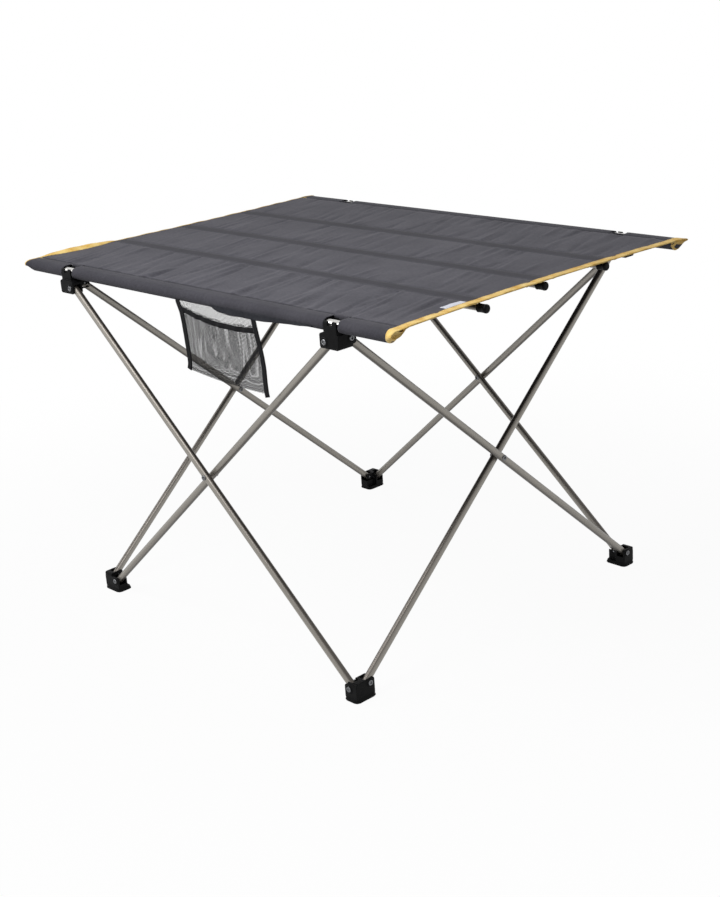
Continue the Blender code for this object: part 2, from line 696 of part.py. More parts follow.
def pocket_lean(x, z):
    """Shift a point of the pocket to the right, the more the lower it is."""
    share = (x - POCKET_LEFT) / (POCKET_RIGHT - POCKET_LEFT)
    depth = (pocket_top() - z) / (pocket_top() - POCKET_BOTTOM_LEFT)
    return x + depth * (POCKET_LEFT_LEAN + share * (POCKET_RIGHT_LEAN - POCKET_LEFT_LEAN))


def pocket_top():
    """Height where the pocket meets the underside of the sleeve."""
    return POLE_Z - SLEEVE_RADIUS - GAP


def pocket_plan(inset):
    """Plan outline of the pocket: a straight back and a front with soft upright folds."""
    left = POCKET_LEFT + inset
    right = POCKET_RIGHT - inset
    back = -POCKET_FRONT + POCKET_DEPTH - inset
    steps = POCKET_FOLDS * 6
    front = []
    for i in range(steps + 1):
        share = i / steps
        wave = POCKET_FOLD * math.sin(math.pi * POCKET_FOLDS * share) ** 2
        front.append((left + (right - left) * share, -POCKET_FRONT + inset - wave))
    return front + [(right, back), (left, back)]


def mouth_height(x, lift=0.0):
    """Height of the front panel's top edge, which hangs in a shallow curve."""
    share = (x - POCKET_LEFT) / (POCKET_RIGHT - POCKET_LEFT)
    chord = MOUTH_LEFT_Z + (MOUTH_RIGHT_Z - MOUTH_LEFT_Z) * share
    return chord - MOUTH_SAG * 4 * share * (1 - share) + lift


def mouth_points(left, right, lift, steps=8):
    """Points along the mouth from left to right."""
    values = [left + (right - left) * i / steps for i in range(steps + 1)]
    return [(x, mouth_height(x, lift)) for x in values]


def pocket_mesh():
    """Mesh pouch: one bag with an open mouth, hung from the underside of the front sleeve."""
    top = pocket_top()
    bag = prism([pocket_plan(0)], "Z", POCKET_BOTTOM_LEFT, top)
    room = prism([pocket_plan(POCKET_WALL)], "Z", POCKET_BOTTOM_LEFT + POCKET_WALL, top + POCKET_WALL)
    for mesh in (bag, room):
        for vertex in mesh.vertices:
            vertex.co.z = pocket_slope(vertex.co.x, vertex.co.z)
            vertex.co.x = pocket_lean(vertex.co.x, vertex.co.z)
    left = POCKET_LEFT + POCKET_WALL
    right = POCKET_RIGHT - POCKET_WALL
    mouth = mouth_points(left, right, 0) + [(right, top + CUT), (left, top + CUT)]
    mouth = [(pocket_lean(x, z), z) for x, z in mouth]
    opening = prism([mouth], "Y", -POCKET_FRONT - CUT, -POCKET_FRONT + POCKET_DEPTH / 2)
    return combined(bag, [room, opening], "DIFFERENCE")


def tape_mesh():
    """Black tape on the pocket: two sides, the right one with a tail, and the rim of the mouth."""
    top = pocket_top()
    left_out = POCKET_LEFT
    left_in = POCKET_LEFT + TAPE_WIDTH
    right_in = POCKET_RIGHT - TAPE_WIDTH
    right_out = POCKET_RIGHT
    outline = [(left_out, POCKET_BOTTOM_LEFT), (left_in, POCKET_BOTTOM_LEFT)]
    outline += mouth_points(left_in, right_in, -TAPE_WIDTH)
    outline += [(right_in, POCKET_BOTTOM_RIGHT), (right_in + SEWN_ROUND, POCKET_BOTTOM_RIGHT - TAPE_TAIL / 2),
                (right_out, POCKET_BOTTOM_RIGHT - TAPE_TAIL / 2), (right_out, top), (right_in, top)]
    outline += list(reversed(mouth_points(left_in, right_in, 0)))
    outline += [(left_in, top), (left_out, top)]
    outline = [(pocket_lean(x, z), z) for x, z in outline]
    back = -POCKET_FRONT - POCKET_FOLD - GAP
    return prism([outline], "Y", back - TAPE, back)


def flap_mesh():
    """Loose hem of the sleeve beside the pocket, with a rounded left end."""
    low = POLE_Z - FLAP_DROP
    high = POLE_Z - FLAP_RISE
    reach = high - low
    curve = [(FLAP_LEFT + FLAP_CURVE * (1 - math.cos(a)), high - reach * math.sin(a))
             for a in (math.radians(15 * i) for i in range(7))]
    end = [(FLAP_LEVEL_END, low), (FLAP_RIGHT, POLE_Z - FLAP_END_DROP), (FLAP_RIGHT, high)]
    front = -POCKET_FRONT - POCKET_FOLD - 2 * GAP - TAPE - FLAP
    return prism([curve + end], "Y", front, front + FLAP)


def tag_mesh():
    """Small blank woven tag, sewn flat on the top beside the right binding."""
    edge = TABLE_LENGTH / 2 - END_BOW * (1 - (TAG_CENTRE_Y / TOP_HALF_WIDTH) ** 2) - BINDING_WIDTH
    right = edge - 4 * GAP
    outline = rounded_rectangle((right - TAG_WIDTH, TAG_CENTRE_Y - TAG_LENGTH / 2),
                                (right, TAG_CENTRE_Y + TAG_LENGTH / 2), SEWN_ROUND)
    return prism([outline], "Z", FABRIC_HEIGHT + GAP, FABRIC_HEIGHT + GAP + TAG)


# Looks: colour, roughness, metallic
TUBE = ("#B2B0AA", 0.30, 1.0)
NYLON = ("#151516", 0.45, 0.0)
RIVET_STEEL = ("#9A9A98", 0.28, 1.0)
CLOTH = ("#55545B", 0.85, 0.0)
AMBER = ("#E0B050", 0.75, 0.0)
NETTING = ("#6F6F70", 0.90, 0.0)
BLACK_TAPE = ("#1E1E20", 0.80, 0.0)
TAG_WHITE = ("#D8DAE6", 0.70, 0.0)


def build_feet(bodies):
    """The four feet, each on the body that carries it."""
    for corner in CORNERS:
        mesh = transformed(foot_mesh(*foot_layers(corner)), corner_matrix(corner))
        place(corner + "_foot", mesh, NYLON, bodies[corner + "_foot"], corner_place(corner))


def build_hubs(bodies):
    """The four hubs, each on the body that carries it."""
    for corner in CORNERS:
        mesh = transformed(hub_mesh(*hub_layers(corner)), corner_matrix(corner))
        place(corner + "_hub", mesh, NYLON, bodies[corner + "_hub"], corner_place(corner))


def build_legs(bodies):
    """Eight drilled tubes with a rivet at each foot, each hub and each crossing."""
    shared = {axis: leg_mesh(leg_length(axis)) for axis in "XY"}
    for side, layer, hub, foot in LEGS:
        start, end, axis = leg_ends(side, layer, hub, foot)
        leg_name = side + "_" + layer + "_leg"
        place(leg_name, shared[axis].copy(), TUBE, bodies[leg_name], start, leg_turn(start, end, axis))
        hub_reach = hub_cheek(hub, axis)
        add_rivet(foot + "_foot", side, start, axis, clevis_rivet(EAR_HALF, EAR_HALF), bodies)
        add_rivet(hub + "_hub", side, end, axis, clevis_rivet(hub_reach, EAR_HALF), bodies)
        if layer == "outer":
            middle = (start + end) / 2
            index = "XYZ".index(axis)
            middle[index] -= math.copysign(LEG_LAYER, middle[index])
            place(side + "_crossing_rivet", crossing_rivet(), RIVET_STEEL, bodies[leg_name], middle,
                  along(axis))


def hub_cheek(corner, axis):
    """Distance from the leg's axis to the outer face of a hub, along the pivot."""
    faces = outer_faces(*hub_layers(corner))
    layers = hub_layers(corner)
    side = 0 if axis == "Y" else 1
    return layers[side] * LEG_LAYER - faces[side]


def add_rivet(block, side, pivot, axis, mesh, bodies):
    """Set a hub or foot rivet on its pivot with its head toward the outside of the table."""
    outward = math.copysign(1, pivot["XYZ".index(axis)])
    turn = along(axis) @ Matrix.Diagonal((outward, 1, outward, 1))
    place(block + "_" + side + "_rivet", mesh, RIVET_STEEL, bodies[block], pivot, turn)


def build_poles(top):
    """Two long poles in two sections each, with a plug in each outer end."""
    for label, side_y in (("front", -1), ("back", 1)):
        for hand, side_x in (("left", -1), ("right", 1)):
            outer_end = Vector((side_x * POLE_HALF, side_y * CORNER_Y, POLE_Z))
            turn = Matrix.Rotation(math.radians(-90 * side_x), 4, "Y")
            place(f"{label}_pole_{hand}", pole_section(side_x < 0), TUBE, top, outer_end, turn)
            place(f"{label}_pole_{hand}_cap", pole_cap(), NYLON, top, outer_end, turn)


def build_rods(top):
    """Three stiffener rods in the channels under the top, each with two end caps."""
    for label, place_y in (("front", -ROD_PITCH), ("middle", 0), ("back", ROD_PITCH)):
        shift = FRONT_ROD_SHIFT if label == "front" else 0
        centre = Vector((shift, place_y, FABRIC_HEIGHT - ROD_DROP))
        place(label + "_rod", rod_mesh(), TUBE, top, centre, along("X"))
        for hand, side_x in (("left", -1), ("right", 1)):
            end = centre + Vector((side_x * ROD_HALF, 0, 0))
            turn = Matrix.Rotation(math.radians(90 * side_x), 4, "Y")
            place(f"{label}_rod_{hand}_cap", rod_cap(), NYLON, top, end, turn)


def build_top(top):
    """The fabric top and everything sewn to it."""
    place("tabletop_fabric", fabric_mesh(), CLOTH, top)
    place("left_binding", binding_mesh(-1), AMBER, top)
    place("right_binding", binding_mesh(1), AMBER, top)
    place("mesh_pocket", pocket_mesh(), NETTING, top)
    place("pocket_tape", tape_mesh(), BLACK_TAPE, top)
    place("sleeve_flap", flap_mesh(), CLOTH, top)
    place("blank_tag", tag_mesh(), TAG_WHITE, top)


def body_axes():
    """One empty on the joint axis of each moving body. The front right foot stands still.

    A leg turns about the pivot that holds it: its foot, its hub or else its crossing."""
    held_at = {"front_outer_leg": 0, "left_inner_leg": 1, "right_outer_leg": 1, "back_outer_leg": 1}
    turns_on_side = {"back_left_foot", "back_right_foot", "back_left_hub", "back_right_hub"}
    bodies = {}
    for side, layer, hub, foot in LEGS:
        start, end, _ = leg_ends(side, layer, hub, foot)
        leg_name = side + "_" + layer + "_leg"
        point = start + (end - start) * held_at.get(leg_name, 0.5)
        bodies[leg_name] = body_axis("axis_" + leg_name, point)
        for block, pivot in ((foot + "_foot", start), (hub + "_hub", end)):
            if (block in turns_on_side) == (side in ("left", "right")):
                bodies[block] = body_axis("axis_" + block, pivot)
    bodies["top"] = body_axis("axis_top", (0, 0, FABRIC_HEIGHT))
    return bodies


def build_table():
    """Empty the scene, then model the whole table."""
    for item in list(bpy.data.objects):
        bpy.data.objects.remove(item)
    bodies = body_axes()
    build_feet(bodies)
    build_hubs(bodies)
    build_legs(bodies)
    build_poles(bodies["top"])
    build_rods(bodies["top"])
    build_top(bodies["top"])


build_table()
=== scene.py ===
"""Folding camp table, dressed: tube legs in four scissor pairs, nylon hubs and feet, two long
poles, three stiffener rods, and a sewn fabric top with amber bindings and a mesh pocket.
Metres, +Z up. X runs along the pole sleeves, and the front with the pocket faces -Y."""
import math

import bmesh
import bpy
import numpy as np
from mathutils import Matrix, Vector


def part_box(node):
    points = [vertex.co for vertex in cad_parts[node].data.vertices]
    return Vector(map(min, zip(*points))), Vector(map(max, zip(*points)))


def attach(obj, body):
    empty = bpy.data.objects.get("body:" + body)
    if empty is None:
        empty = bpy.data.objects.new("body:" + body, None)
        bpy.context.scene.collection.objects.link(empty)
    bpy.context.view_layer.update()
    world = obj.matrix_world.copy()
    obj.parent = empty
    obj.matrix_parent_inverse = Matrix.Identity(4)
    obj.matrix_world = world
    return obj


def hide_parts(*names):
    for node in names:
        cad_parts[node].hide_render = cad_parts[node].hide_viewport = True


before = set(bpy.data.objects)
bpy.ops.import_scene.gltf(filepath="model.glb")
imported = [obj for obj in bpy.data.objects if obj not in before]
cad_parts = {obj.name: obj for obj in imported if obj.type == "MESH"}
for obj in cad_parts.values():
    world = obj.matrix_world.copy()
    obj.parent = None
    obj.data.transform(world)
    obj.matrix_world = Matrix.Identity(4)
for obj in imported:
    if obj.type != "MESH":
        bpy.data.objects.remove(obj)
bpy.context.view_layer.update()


# Camera. It stands where the photographer stood: off the front right corner, a little above the
# top, tilted slightly to one side, with a short telephoto lens.
CAMERA_PLACE = Vector((1.5088, -1.3874, 0.9129))
CAMERA_YAW = math.radians(137.338)
CAMERA_DROP = math.radians(19.238)
CAMERA_TILT = math.radians(-4.092)
LENS_MM = 60.85

ahead = Vector((math.cos(CAMERA_YAW) * math.cos(CAMERA_DROP),
                math.sin(CAMERA_YAW) * math.cos(CAMERA_DROP), -math.sin(CAMERA_DROP)))
level_right = Vector((math.sin(CAMERA_YAW), -math.cos(CAMERA_YAW), 0))
level_up = level_right.cross(ahead)
camera_right = math.cos(CAMERA_TILT) * level_right + math.sin(CAMERA_TILT) * level_up
camera_up = math.cos(CAMERA_TILT) * level_up - math.sin(CAMERA_TILT) * level_right
camera = bpy.data.objects.new("photo_camera", bpy.data.cameras.new("photo_camera"))
camera.matrix_world = (Matrix.Translation(CAMERA_PLACE)
                       @ Matrix((camera_right, camera_up, -ahead)).transposed().to_4x4())
camera.data.lens = LENS_MM
camera.data.sensor_width = 36
bpy.context.collection.objects.link(camera)
bpy.context.scene.camera = camera


# Feet. Four moulded blocks of black glass-filled nylon, each with a clevis for two legs and a
# flared base. The mould rounds every edge and leaves a fine, even grain.
CORNERS = {"front_left": (-1, -1), "front_right": (1, -1),
           "back_right": (1, 1), "back_left": (-1, 1)}
CORNER = 0.267              # middle of the table to the leg planes, along X and along Y
LEG_LAYER = 0.0053          # leg axis to the middle of its leg plane
PIN_INSET = 0.011           # corner of the leg planes to a pivot
MOULD_VOXEL = 0.00042       # grid on which the edges of a moulding are rounded
MOULD_SMOOTHING = 5
MOULD_FACES_KEPT = 0.16
FOOT_PIN_HEIGHT = 0.016
SIDE_LIFT = 0.004           # the left and right legs pivot this much higher
RIVET_HEIGHT = 0.0013
BOSS_OUTER = 0.0056
BOSS_INNER = 0.0043
BOSS_HEIGHT = 0.0007
BOSS_ROOT = 0.0006          # how far a raised ring is sunk in its block
BOSS_SIDES = 28


def linear_colour(hex_colour):
    """Linear RGBA of an sRGB hex colour."""
    channels = [int(hex_colour[i:i + 2], 16) / 255 for i in (1, 3, 5)]
    return [c / 12.92 if c <= 0.04045 else ((c + 0.055) / 1.055) ** 2.4 for c in channels] + [1.0]


def add_node(owner, kind, settings, links, stops=()):
    """Add a node to a material or a sky, with its settings, its colour stops and its links."""
    node = owner.node_tree.nodes.new("ShaderNode" + kind)
    for element, (place, tint) in enumerate(stops):
        node.color_ramp.elements[element].position = place
        node.color_ramp.elements[element].color = linear_colour(tint)
    for key, value in settings.items():
        if isinstance(key, str) and hasattr(node, key):
            setattr(node, key, value)
    for key, value in settings.items():
        if not (isinstance(key, str) and hasattr(node, key)):
            node.inputs[key].default_value = value
    for key, (source, output) in links.items():
        owner.node_tree.links.new(source.outputs[output], node.inputs[key])
    return node


def new_material(name, hex_colour):
    """Material with an empty node tree. Its plain colour is the one that a simple viewer shows."""
    material = bpy.data.materials.new(name)
    material.use_nodes = True
    material.node_tree.nodes.clear()
    material.diffuse_color = linear_colour(hex_colour)
    return material


# Black glass-filled nylon, moulded: near black, with a dull sheen broken by spark-eroded grain.
# The grain is 0.35 mm across, a little coarser than the real 0.1 mm, so that it shows. The flow of
# the melt leaves faint patches about 7 mm across.
NYLON_GRAIN_MM = 0.35
NYLON_FLOW_MM = 7.143
moulded_nylon = new_material("moulded_glass_filled_nylon", "#08080A")
nylon_place = add_node(moulded_nylon, "TexCoord", {}, {})
nylon_grain = add_node(moulded_nylon, "TexNoise",
                       {"Scale": 1000 / NYLON_GRAIN_MM / 2, "Detail": 3.0},
                       {"Vector": (nylon_place, "Object")})
nylon_flow = add_node(moulded_nylon, "TexNoise", {"Scale": 1000 / NYLON_FLOW_MM, "Detail": 4.0},
                      {"Vector": (nylon_place, "Object")})
nylon_tint = add_node(moulded_nylon, "ValToRGB", {}, {"Fac": (nylon_flow, "Fac")},
                      [(0.3, "#060607"), (0.7, "#0E0E0F")])
nylon_gloss = add_node(moulded_nylon, "MapRange", {"To Min": 0.38, "To Max": 0.62},
                       {"Value": (nylon_flow, "Fac")})
nylon_bump = add_node(moulded_nylon, "Bump", {"Strength": 0.25, "Distance": 0.00006},
                      {"Height": (nylon_grain, "Fac")})
nylon_shader = add_node(moulded_nylon, "BsdfPrincipled",
                        {"Base Color": moulded_nylon.diffuse_color, "Roughness": 0.5,
                         "Specular IOR Level": 0.08},
                        {"Base Color": (nylon_tint, "Color"), "Roughness": (nylon_gloss, "Result"),
                         "Normal": (nylon_bump, "Normal")})
add_node(moulded_nylon, "OutputMaterial", {}, {"Surface": (nylon_shader, "BSDF")})


def new_piece(name, mesh, material, body, replaced=()):
    """Put a finished mesh in the scene as one piece on a moving body."""
    mesh.materials.clear()
    mesh.materials.append(material)
    mesh.shade_smooth()
    piece = bpy.data.objects.new(name, mesh)
    bpy.context.collection.objects.link(piece)
    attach(piece, body)
    if replaced:
        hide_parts(*replaced)
    return piece


def applied(mesh, modifiers):
    """Mesh with a list of (modifier kind, settings) applied to it."""
    holder = bpy.data.objects.new("work", mesh)
    bpy.context.collection.objects.link(holder)
    for kind, settings in modifiers:
        modifier = holder.modifiers.new(kind.title(), kind)
        for key, value in settings.items():
            setattr(modifier, key, value)
    result = bpy.data.meshes.new_from_object(
        holder.evaluated_get(bpy.context.evaluated_depsgraph_get()))
    bpy.data.objects.remove(holder)
    return result


def cleaned(mesh, merge=0, collapse=0, outward=False):
    """Merge points of a mesh that are near each other, drop empty faces, turn its faces outward."""
    bm = bmesh.new()
    bm.from_mesh(mesh)
    if merge:
        bmesh.ops.remove_doubles(bm, verts=bm.verts, dist=merge)
    if collapse:
        bmesh.ops.dissolve_degenerate(bm, edges=bm.edges, dist=collapse)
    if outward:
        bmesh.ops.recalc_face_normals(bm, faces=bm.faces)
    bm.to_mesh(mesh)
    bm.free()
    return mesh


def joined(meshes):
    """One mesh that holds several, as they are."""
    bm = bmesh.new()
    for mesh in meshes:
        bm.from_mesh(mesh)
    result = bpy.data.meshes.new("joined")
    bm.to_mesh(result)
    bm.free()
    return result


def turned(profile, sides, matrix, closed=True):
    """Turn a profile of (radius, height) about Z and lay it in its place. UVs are in metres."""
    count = len(profile)
    points, spots = [], []
    rounding = max(radius for radius, _ in profile)
    for i in range(sides + 1):
        angle = 2 * math.pi * i / sides
        length = 0
        for k, (radius, height) in enumerate(profile):
            if k:
                length += math.dist(profile[k - 1], profile[k])
            points.append((radius * math.cos(angle), radius * math.sin(angle), height))
            spots.append((angle * rounding, length))
    steps = count if closed else count - 1
    faces = [(i * count + k, (i + 1) * count + k, (i + 1) * count + (k + 1) % count,
              i * count + (k + 1) % count) for i in range(sides) for k in range(steps)]
    mesh = bpy.data.meshes.new("turned")
    mesh.from_pydata(points, [], faces)
    layer = mesh.uv_layers.new(name="lay")
    for loop in mesh.loops:
        layer.data[loop.index].uv = spots[loop.vertex_index]
    cleaned(mesh, merge=1e-6, collapse=1e-7, outward=True)
    mesh.transform(matrix)
    return mesh


def turn_along(axis, outward=1):
    """Turn that lays Z along X or Y, toward the outside of the table."""
    if axis == "X":
        return Matrix.Rotation(math.radians(90 * outward), 4, "Y")
    return Matrix.Rotation(math.radians(-90 * outward), 4, "X")


def moulded(node, extras):
    """A block of the frame with its raised details, and with every edge rounded as in a mould."""
    block = cleaned(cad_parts[node].data.copy(), merge=1e-6)
    return applied(joined([block] + extras), [
        ("REMESH", {"mode": "VOXEL", "voxel_size": MOULD_VOXEL, "use_smooth_shade": True}),
        ("SMOOTH", {"factor": 0.5, "iterations": MOULD_SMOOTHING}),
        ("DECIMATE", {"ratio": MOULD_FACES_KEPT}),
    ])


def boss(centre, axis, outward):
    """Raised ring round a rivet's head."""
    ring = [(BOSS_INNER, -BOSS_ROOT), (BOSS_OUTER, -BOSS_ROOT), (BOSS_OUTER, BOSS_HEIGHT),
            (BOSS_INNER, BOSS_HEIGHT)]
    return turned(ring, BOSS_SIDES, Matrix.Translation(centre) @ turn_along(axis, outward))


def bosses(corner, block):
    """The two raised rings of a hub or foot, one round the seat of each rivet head."""
    rings = []
    for side in corner.split("_"):
        axis = "Y" if side in ("front", "back") else "X"
        low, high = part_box(f"{corner}_{block}_{side}_rivet")
        seat = (low + high) / 2
        index = "XYZ".index(axis)
        outward = math.copysign(1, seat[index])
        seat[index] = (high if outward > 0 else low)[index] - outward * RIVET_HEIGHT
        rings.append(boss(seat, axis, outward))
    return rings


for corner in CORNERS:
    node = corner + "_foot"
    new_piece("moulded_" + node, moulded(node, bosses(corner, "foot")), moulded_nylon, node,
              [node])


# Legs. Eight straight tubes of drawn aluminium, 10 mm across with a 0.8 mm wall, crossing in
# pairs. They are cut square, deburred at both ends and clear anodised.
LEG_RADIUS = 0.0050
LEG_WALL = 0.0008
LEG_OVERHANG = 0.007        # pivot to the end of the tube
HUB_PIN_HEIGHT = 0.460
DEBURR_SHARE = 0.3          # share of the wall that is taken off a cut edge
SHARP_TURN = 40             # degrees from which an edge is shown crisp
TUBE_SIDES = 40
TUBE_STATION = 0.016        # length of the faces along a tube
LEGS = [                    # side of the table, layer, hub corner, foot corner
    ("front", "outer", "front_left", "front_right"),
    ("front", "inner", "front_right", "front_left"),
    ("right", "outer", "front_right", "back_right"),
    ("right", "inner", "back_right", "front_right"),
    ("back", "outer", "back_right", "back_left"),
    ("back", "inner", "back_left", "back_right"),
    ("left", "outer", "back_left", "front_left"),
    ("left", "inner", "front_left", "back_left"),
]

# Drawn and clear-anodised aluminium: a warm grey metal under a thin oxide that scatters some of
# the light. The die leaves fine lengthwise lines, drawn 1.2 mm apart, where the real ones are
# 0.2 mm apart, so that they show. Broad bands along each leg, two pale and two dark round it, are
# a painted reflection, and the gloss varies in blotches about 17 mm across.
DIE_LINE_MM = 1.2
TUBE_BLOTCH_MM = 16.667
REFLECTION_BANDS_ROUND = 2           # bands of painted reflection round a leg
anodised_aluminium = new_material("drawn_anodised_aluminium", "#8C8780")
tube_place = add_node(anodised_aluminium, "UVMap", {"uv_map": "lay"}, {})
tube_stretch = add_node(anodised_aluminium, "Mapping",
                        {"Scale": (1000 / DIE_LINE_MM / 2, 1.5, 1.0)},
                        {"Vector": (tube_place, "UV")})
tube_lines = add_node(anodised_aluminium, "TexNoise", {"Scale": 1.0, "Detail": 3.0},
                      {"Vector": (tube_stretch, "Vector")})
tube_reflection_round = add_node(anodised_aluminium, "Mapping",
                      {"Scale": (1 / (2 * math.pi * LEG_RADIUS) * REFLECTION_BANDS_ROUND, 0.35, 1.0)},
                      {"Vector": (tube_place, "UV")})
tube_painted_reflection = add_node(anodised_aluminium, "TexWave",
                        {"wave_type": "BANDS", "bands_direction": "X", "Scale": math.pi / 10,
                         "Distortion": 0.6, "Detail": 2.0, "Detail Scale": 0.8,
                         "Detail Roughness": 0.5},
                        {"Vector": (tube_reflection_round, "Vector")})
tube_object = add_node(anodised_aluminium, "TexCoord", {}, {})
tube_blotches = add_node(anodised_aluminium, "TexNoise",
                         {"Scale": 1000 / TUBE_BLOTCH_MM, "Detail": 5.0},
                         {"Vector": (tube_object, "Object")})
tube_fine = add_node(anodised_aluminium, "ValToRGB", {}, {"Fac": (tube_lines, "Fac")},
                     [(0.3, "#8E8A84"), (0.7, "#ABA7A1")])
# Painted reflection: pale and dark bands along the leg, from this grey to near white.
tube_reflection_tint = add_node(anodised_aluminium, "ValToRGB", {}, {"Fac": (tube_painted_reflection, "Fac")},
                      [(0.25, "#8C8885"), (0.85, "#FAF9F6")])
tube_tint_and_reflection = add_node(anodised_aluminium, "Mix",
                     {"data_type": "RGBA", "blend_type": "MULTIPLY", 0: 1.0},
                     {6: (tube_fine, "Color"), 7: (tube_reflection_tint, "Color")})
tube_gloss = add_node(anodised_aluminium, "MapRange", {"To Min": 0.28, "To Max": 0.40},
                      {"Value": (tube_blotches, "Fac")})
tube_bump = add_node(anodised_aluminium, "Bump", {"Strength": 0.1, "Distance": 0.00003},
                     {"Height": (tube_lines, "Fac")})
tube_shader = add_node(anodised_aluminium, "BsdfPrincipled",
                       {"Base Color": anodised_aluminium.diffuse_color, "Roughness": 0.36,
                        "Metallic": 0.6},
                       {"Base Color": (tube_tint_and_reflection, 2), "Roughness": (tube_gloss, "Result"),
                        "Normal": (tube_bump, "Normal")})
add_node(anodised_aluminium, "OutputMaterial", {}, {"Surface": (tube_shader, "BSDF")})


def leg_ends(side, layer, hub, foot):
    """Foot pivot and hub pivot of a leg, and the axis that both turn about."""
    inset = LEG_LAYER if layer == "inner" else -LEG_LAYER
    hub_x, hub_y = CORNERS[hub]
    foot_x, foot_y = CORNERS[foot]
    pin = CORNER - PIN_INSET
    if side in ("front", "back"):
        y = hub_y * (CORNER - inset)
        return (Vector((foot_x * pin, y, FOOT_PIN_HEIGHT)),
                Vector((hub_x * pin, y, HUB_PIN_HEIGHT)), "Y")
    x = hub_x * (CORNER - inset)
    return (Vector((x, foot_y * pin, FOOT_PIN_HEIGHT + SIDE_LIFT)),
            Vector((x, hub_y * pin, HUB_PIN_HEIGHT + SIDE_LIFT)), "X")


def spaced(stops, pitch):
    """Values from the first stop to the last that pass through every stop."""
    values = [stops[0]]
    for low, high in zip(stops, stops[1:]):
        count = max(1, round((high - low) / pitch))
        values += [low + (high - low) * (i + 1) / count for i in range(count)]
    return np.array(values)


def tube_profile(radius, wall, low, high):
    """Wall of a tube cut square at both ends, with the sharp edges taken off."""
    bore = radius - wall
    break_edge = wall * DEBURR_SHARE
    low_edge, high_edge = low + break_edge, high - break_edge
    stations = spaced([low_edge, high_edge], TUBE_STATION)
    return ([(bore, low_edge), (bore + break_edge, low), (radius - break_edge, low)]
            + [(radius, height) for height in stations]
            + [(radius - break_edge, high), (bore + break_edge, high)]
            + [(bore, height) for height in stations[:0:-1]])


def keep_crisp(piece):
    """Keep the edges of a smooth-shaded piece crisp where it turns sharply."""
    piece.data.set_sharp_from_angle(angle=math.radians(SHARP_TURN))


for side, layer, hub, foot in LEGS:
    start, end, axis = leg_ends(side, layer, hub, foot)
    up = (end - start).normalized()
    pin_axis = Vector((0, 1, 0)) if axis == "Y" else Vector((1, 0, 0))
    lay = Matrix((pin_axis.cross(up), pin_axis, up)).transposed().to_4x4()
    profile = tube_profile(LEG_RADIUS, LEG_WALL, -LEG_OVERHANG, (end - start).length + LEG_OVERHANG)
    tube = turned(profile, TUBE_SIDES, Matrix.Translation(start) @ lay)
    node = side + "_" + layer + "_leg"
    keep_crisp(new_piece("tube_" + node, tube, anodised_aluminium, node, [node]))


# Rivets. Semi-tubular steel rivets, zinc plated. Each has a low domed head with the open end of its
# shank in the middle, so it reads as a bright ring round a dark dimple.
RIVET_HEAD = 0.0038
RIVET_BORE = 0.0014
RIVET_SHANK = 0.0020
RIVET_SIDES = 36
DIMPLE_DEPTH = 0.0006       # floor of the dimple below the seat of the head
HEAD_CURVE = [(1.0, 0.0), (1.0, 0.25), (0.93, 0.6), (0.78, 0.9), (0.62, 1.0)]
DIMPLE_CURVE = [(1.35, 0.92), (1.08, 0.6), (1.0, 0.2)]

# Zinc-plated steel, barrel plated: a mid grey metal with a fine satin, in spangles about 1 mm
# across.
SPANGLE_MM = 1.1111
zinc_steel = new_material("zinc_plated_steel", "#6A6B6D")
zinc_place = add_node(zinc_steel, "TexCoord", {}, {})
zinc_spangle = add_node(zinc_steel, "TexNoise", {"Scale": 1000 / SPANGLE_MM, "Detail": 3.0},
                        {"Vector": (zinc_place, "Object")})
zinc_tint = add_node(zinc_steel, "ValToRGB", {}, {"Fac": (zinc_spangle, "Fac")},
                     [(0.3, "#515254"), (0.7, "#828385")])
zinc_gloss = add_node(zinc_steel, "MapRange", {"To Min": 0.2, "To Max": 0.42},
                      {"Value": (zinc_spangle, "Fac")})
zinc_shader = add_node(zinc_steel, "BsdfPrincipled",
                       {"Base Color": zinc_steel.diffuse_color, "Roughness": 0.34, "Metallic": 1.0},
                       {"Base Color": (zinc_tint, "Color"), "Roughness": (zinc_gloss, "Result")})
add_node(zinc_steel, "OutputMaterial", {}, {"Surface": (zinc_shader, "BSDF")})


def rivet_head(seat):
    """Half profile of a head with its dimple, from its rim inward."""
    dome = [(RIVET_HEAD * wide, seat + RIVET_HEIGHT * high) for wide, high in HEAD_CURVE]
    rolled = [(RIVET_BORE * wide, seat + RIVET_HEIGHT * high) for wide, high in DIMPLE_CURVE]
    return dome + rolled + [(RIVET_BORE, seat - DIMPLE_DEPTH), (0.0, seat - DIMPLE_DEPTH)]


def rivet_mesh(node, axis, both_ends):
    """Rivet that fills the length of its solid in the frame, with a head at one end or both."""
    low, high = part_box(node)
    centre = (low + high) / 2
    index = "XYZ".index(axis)
    outward = math.copysign(1, centre[index])
    half = (high[index] - low[index]) / 2
    seat = half - RIVET_HEIGHT
    head = rivet_head(seat)
    if both_ends:
        profile = [(radius, -height) for radius, height in reversed(head)]
        profile += [(RIVET_SHANK, -seat), (RIVET_SHANK, seat)] + head
    else:
        profile = [(0, -half), (RIVET_SHANK, -half), (RIVET_SHANK, seat)] + head
    return turned(profile, RIVET_SIDES, Matrix.Translation(centre) @ turn_along(axis, outward),
                  closed=False)


for side in ("front", "right", "back", "left"):
    axis = "Y" if side in ("front", "back") else "X"
    node = side + "_crossing_rivet"
    new_piece("steel_" + node, rivet_mesh(node, axis, True), zinc_steel, side + "_outer_leg",
              [node])
    for corner in CORNERS:
        if side in corner.split("_"):
            for block in ("hub", "foot"):
                node = corner + "_" + block + "_" + side + "_rivet"
                new_piece("steel_" + node, rivet_mesh(node, axis, False), zinc_steel,
                          corner + "_" + block, [node])


# Hubs. Four blocks of the same black nylon, left-handed and right-handed: two clevises for the legs
# below, and a cradle with two pairs of spring fingers above that snap round a pole.
for corner in CORNERS:
    node = corner + "_hub"
    new_piece("moulded_" + node, moulded(node, bosses(corner, "hub")), moulded_nylon, node,
              [node])


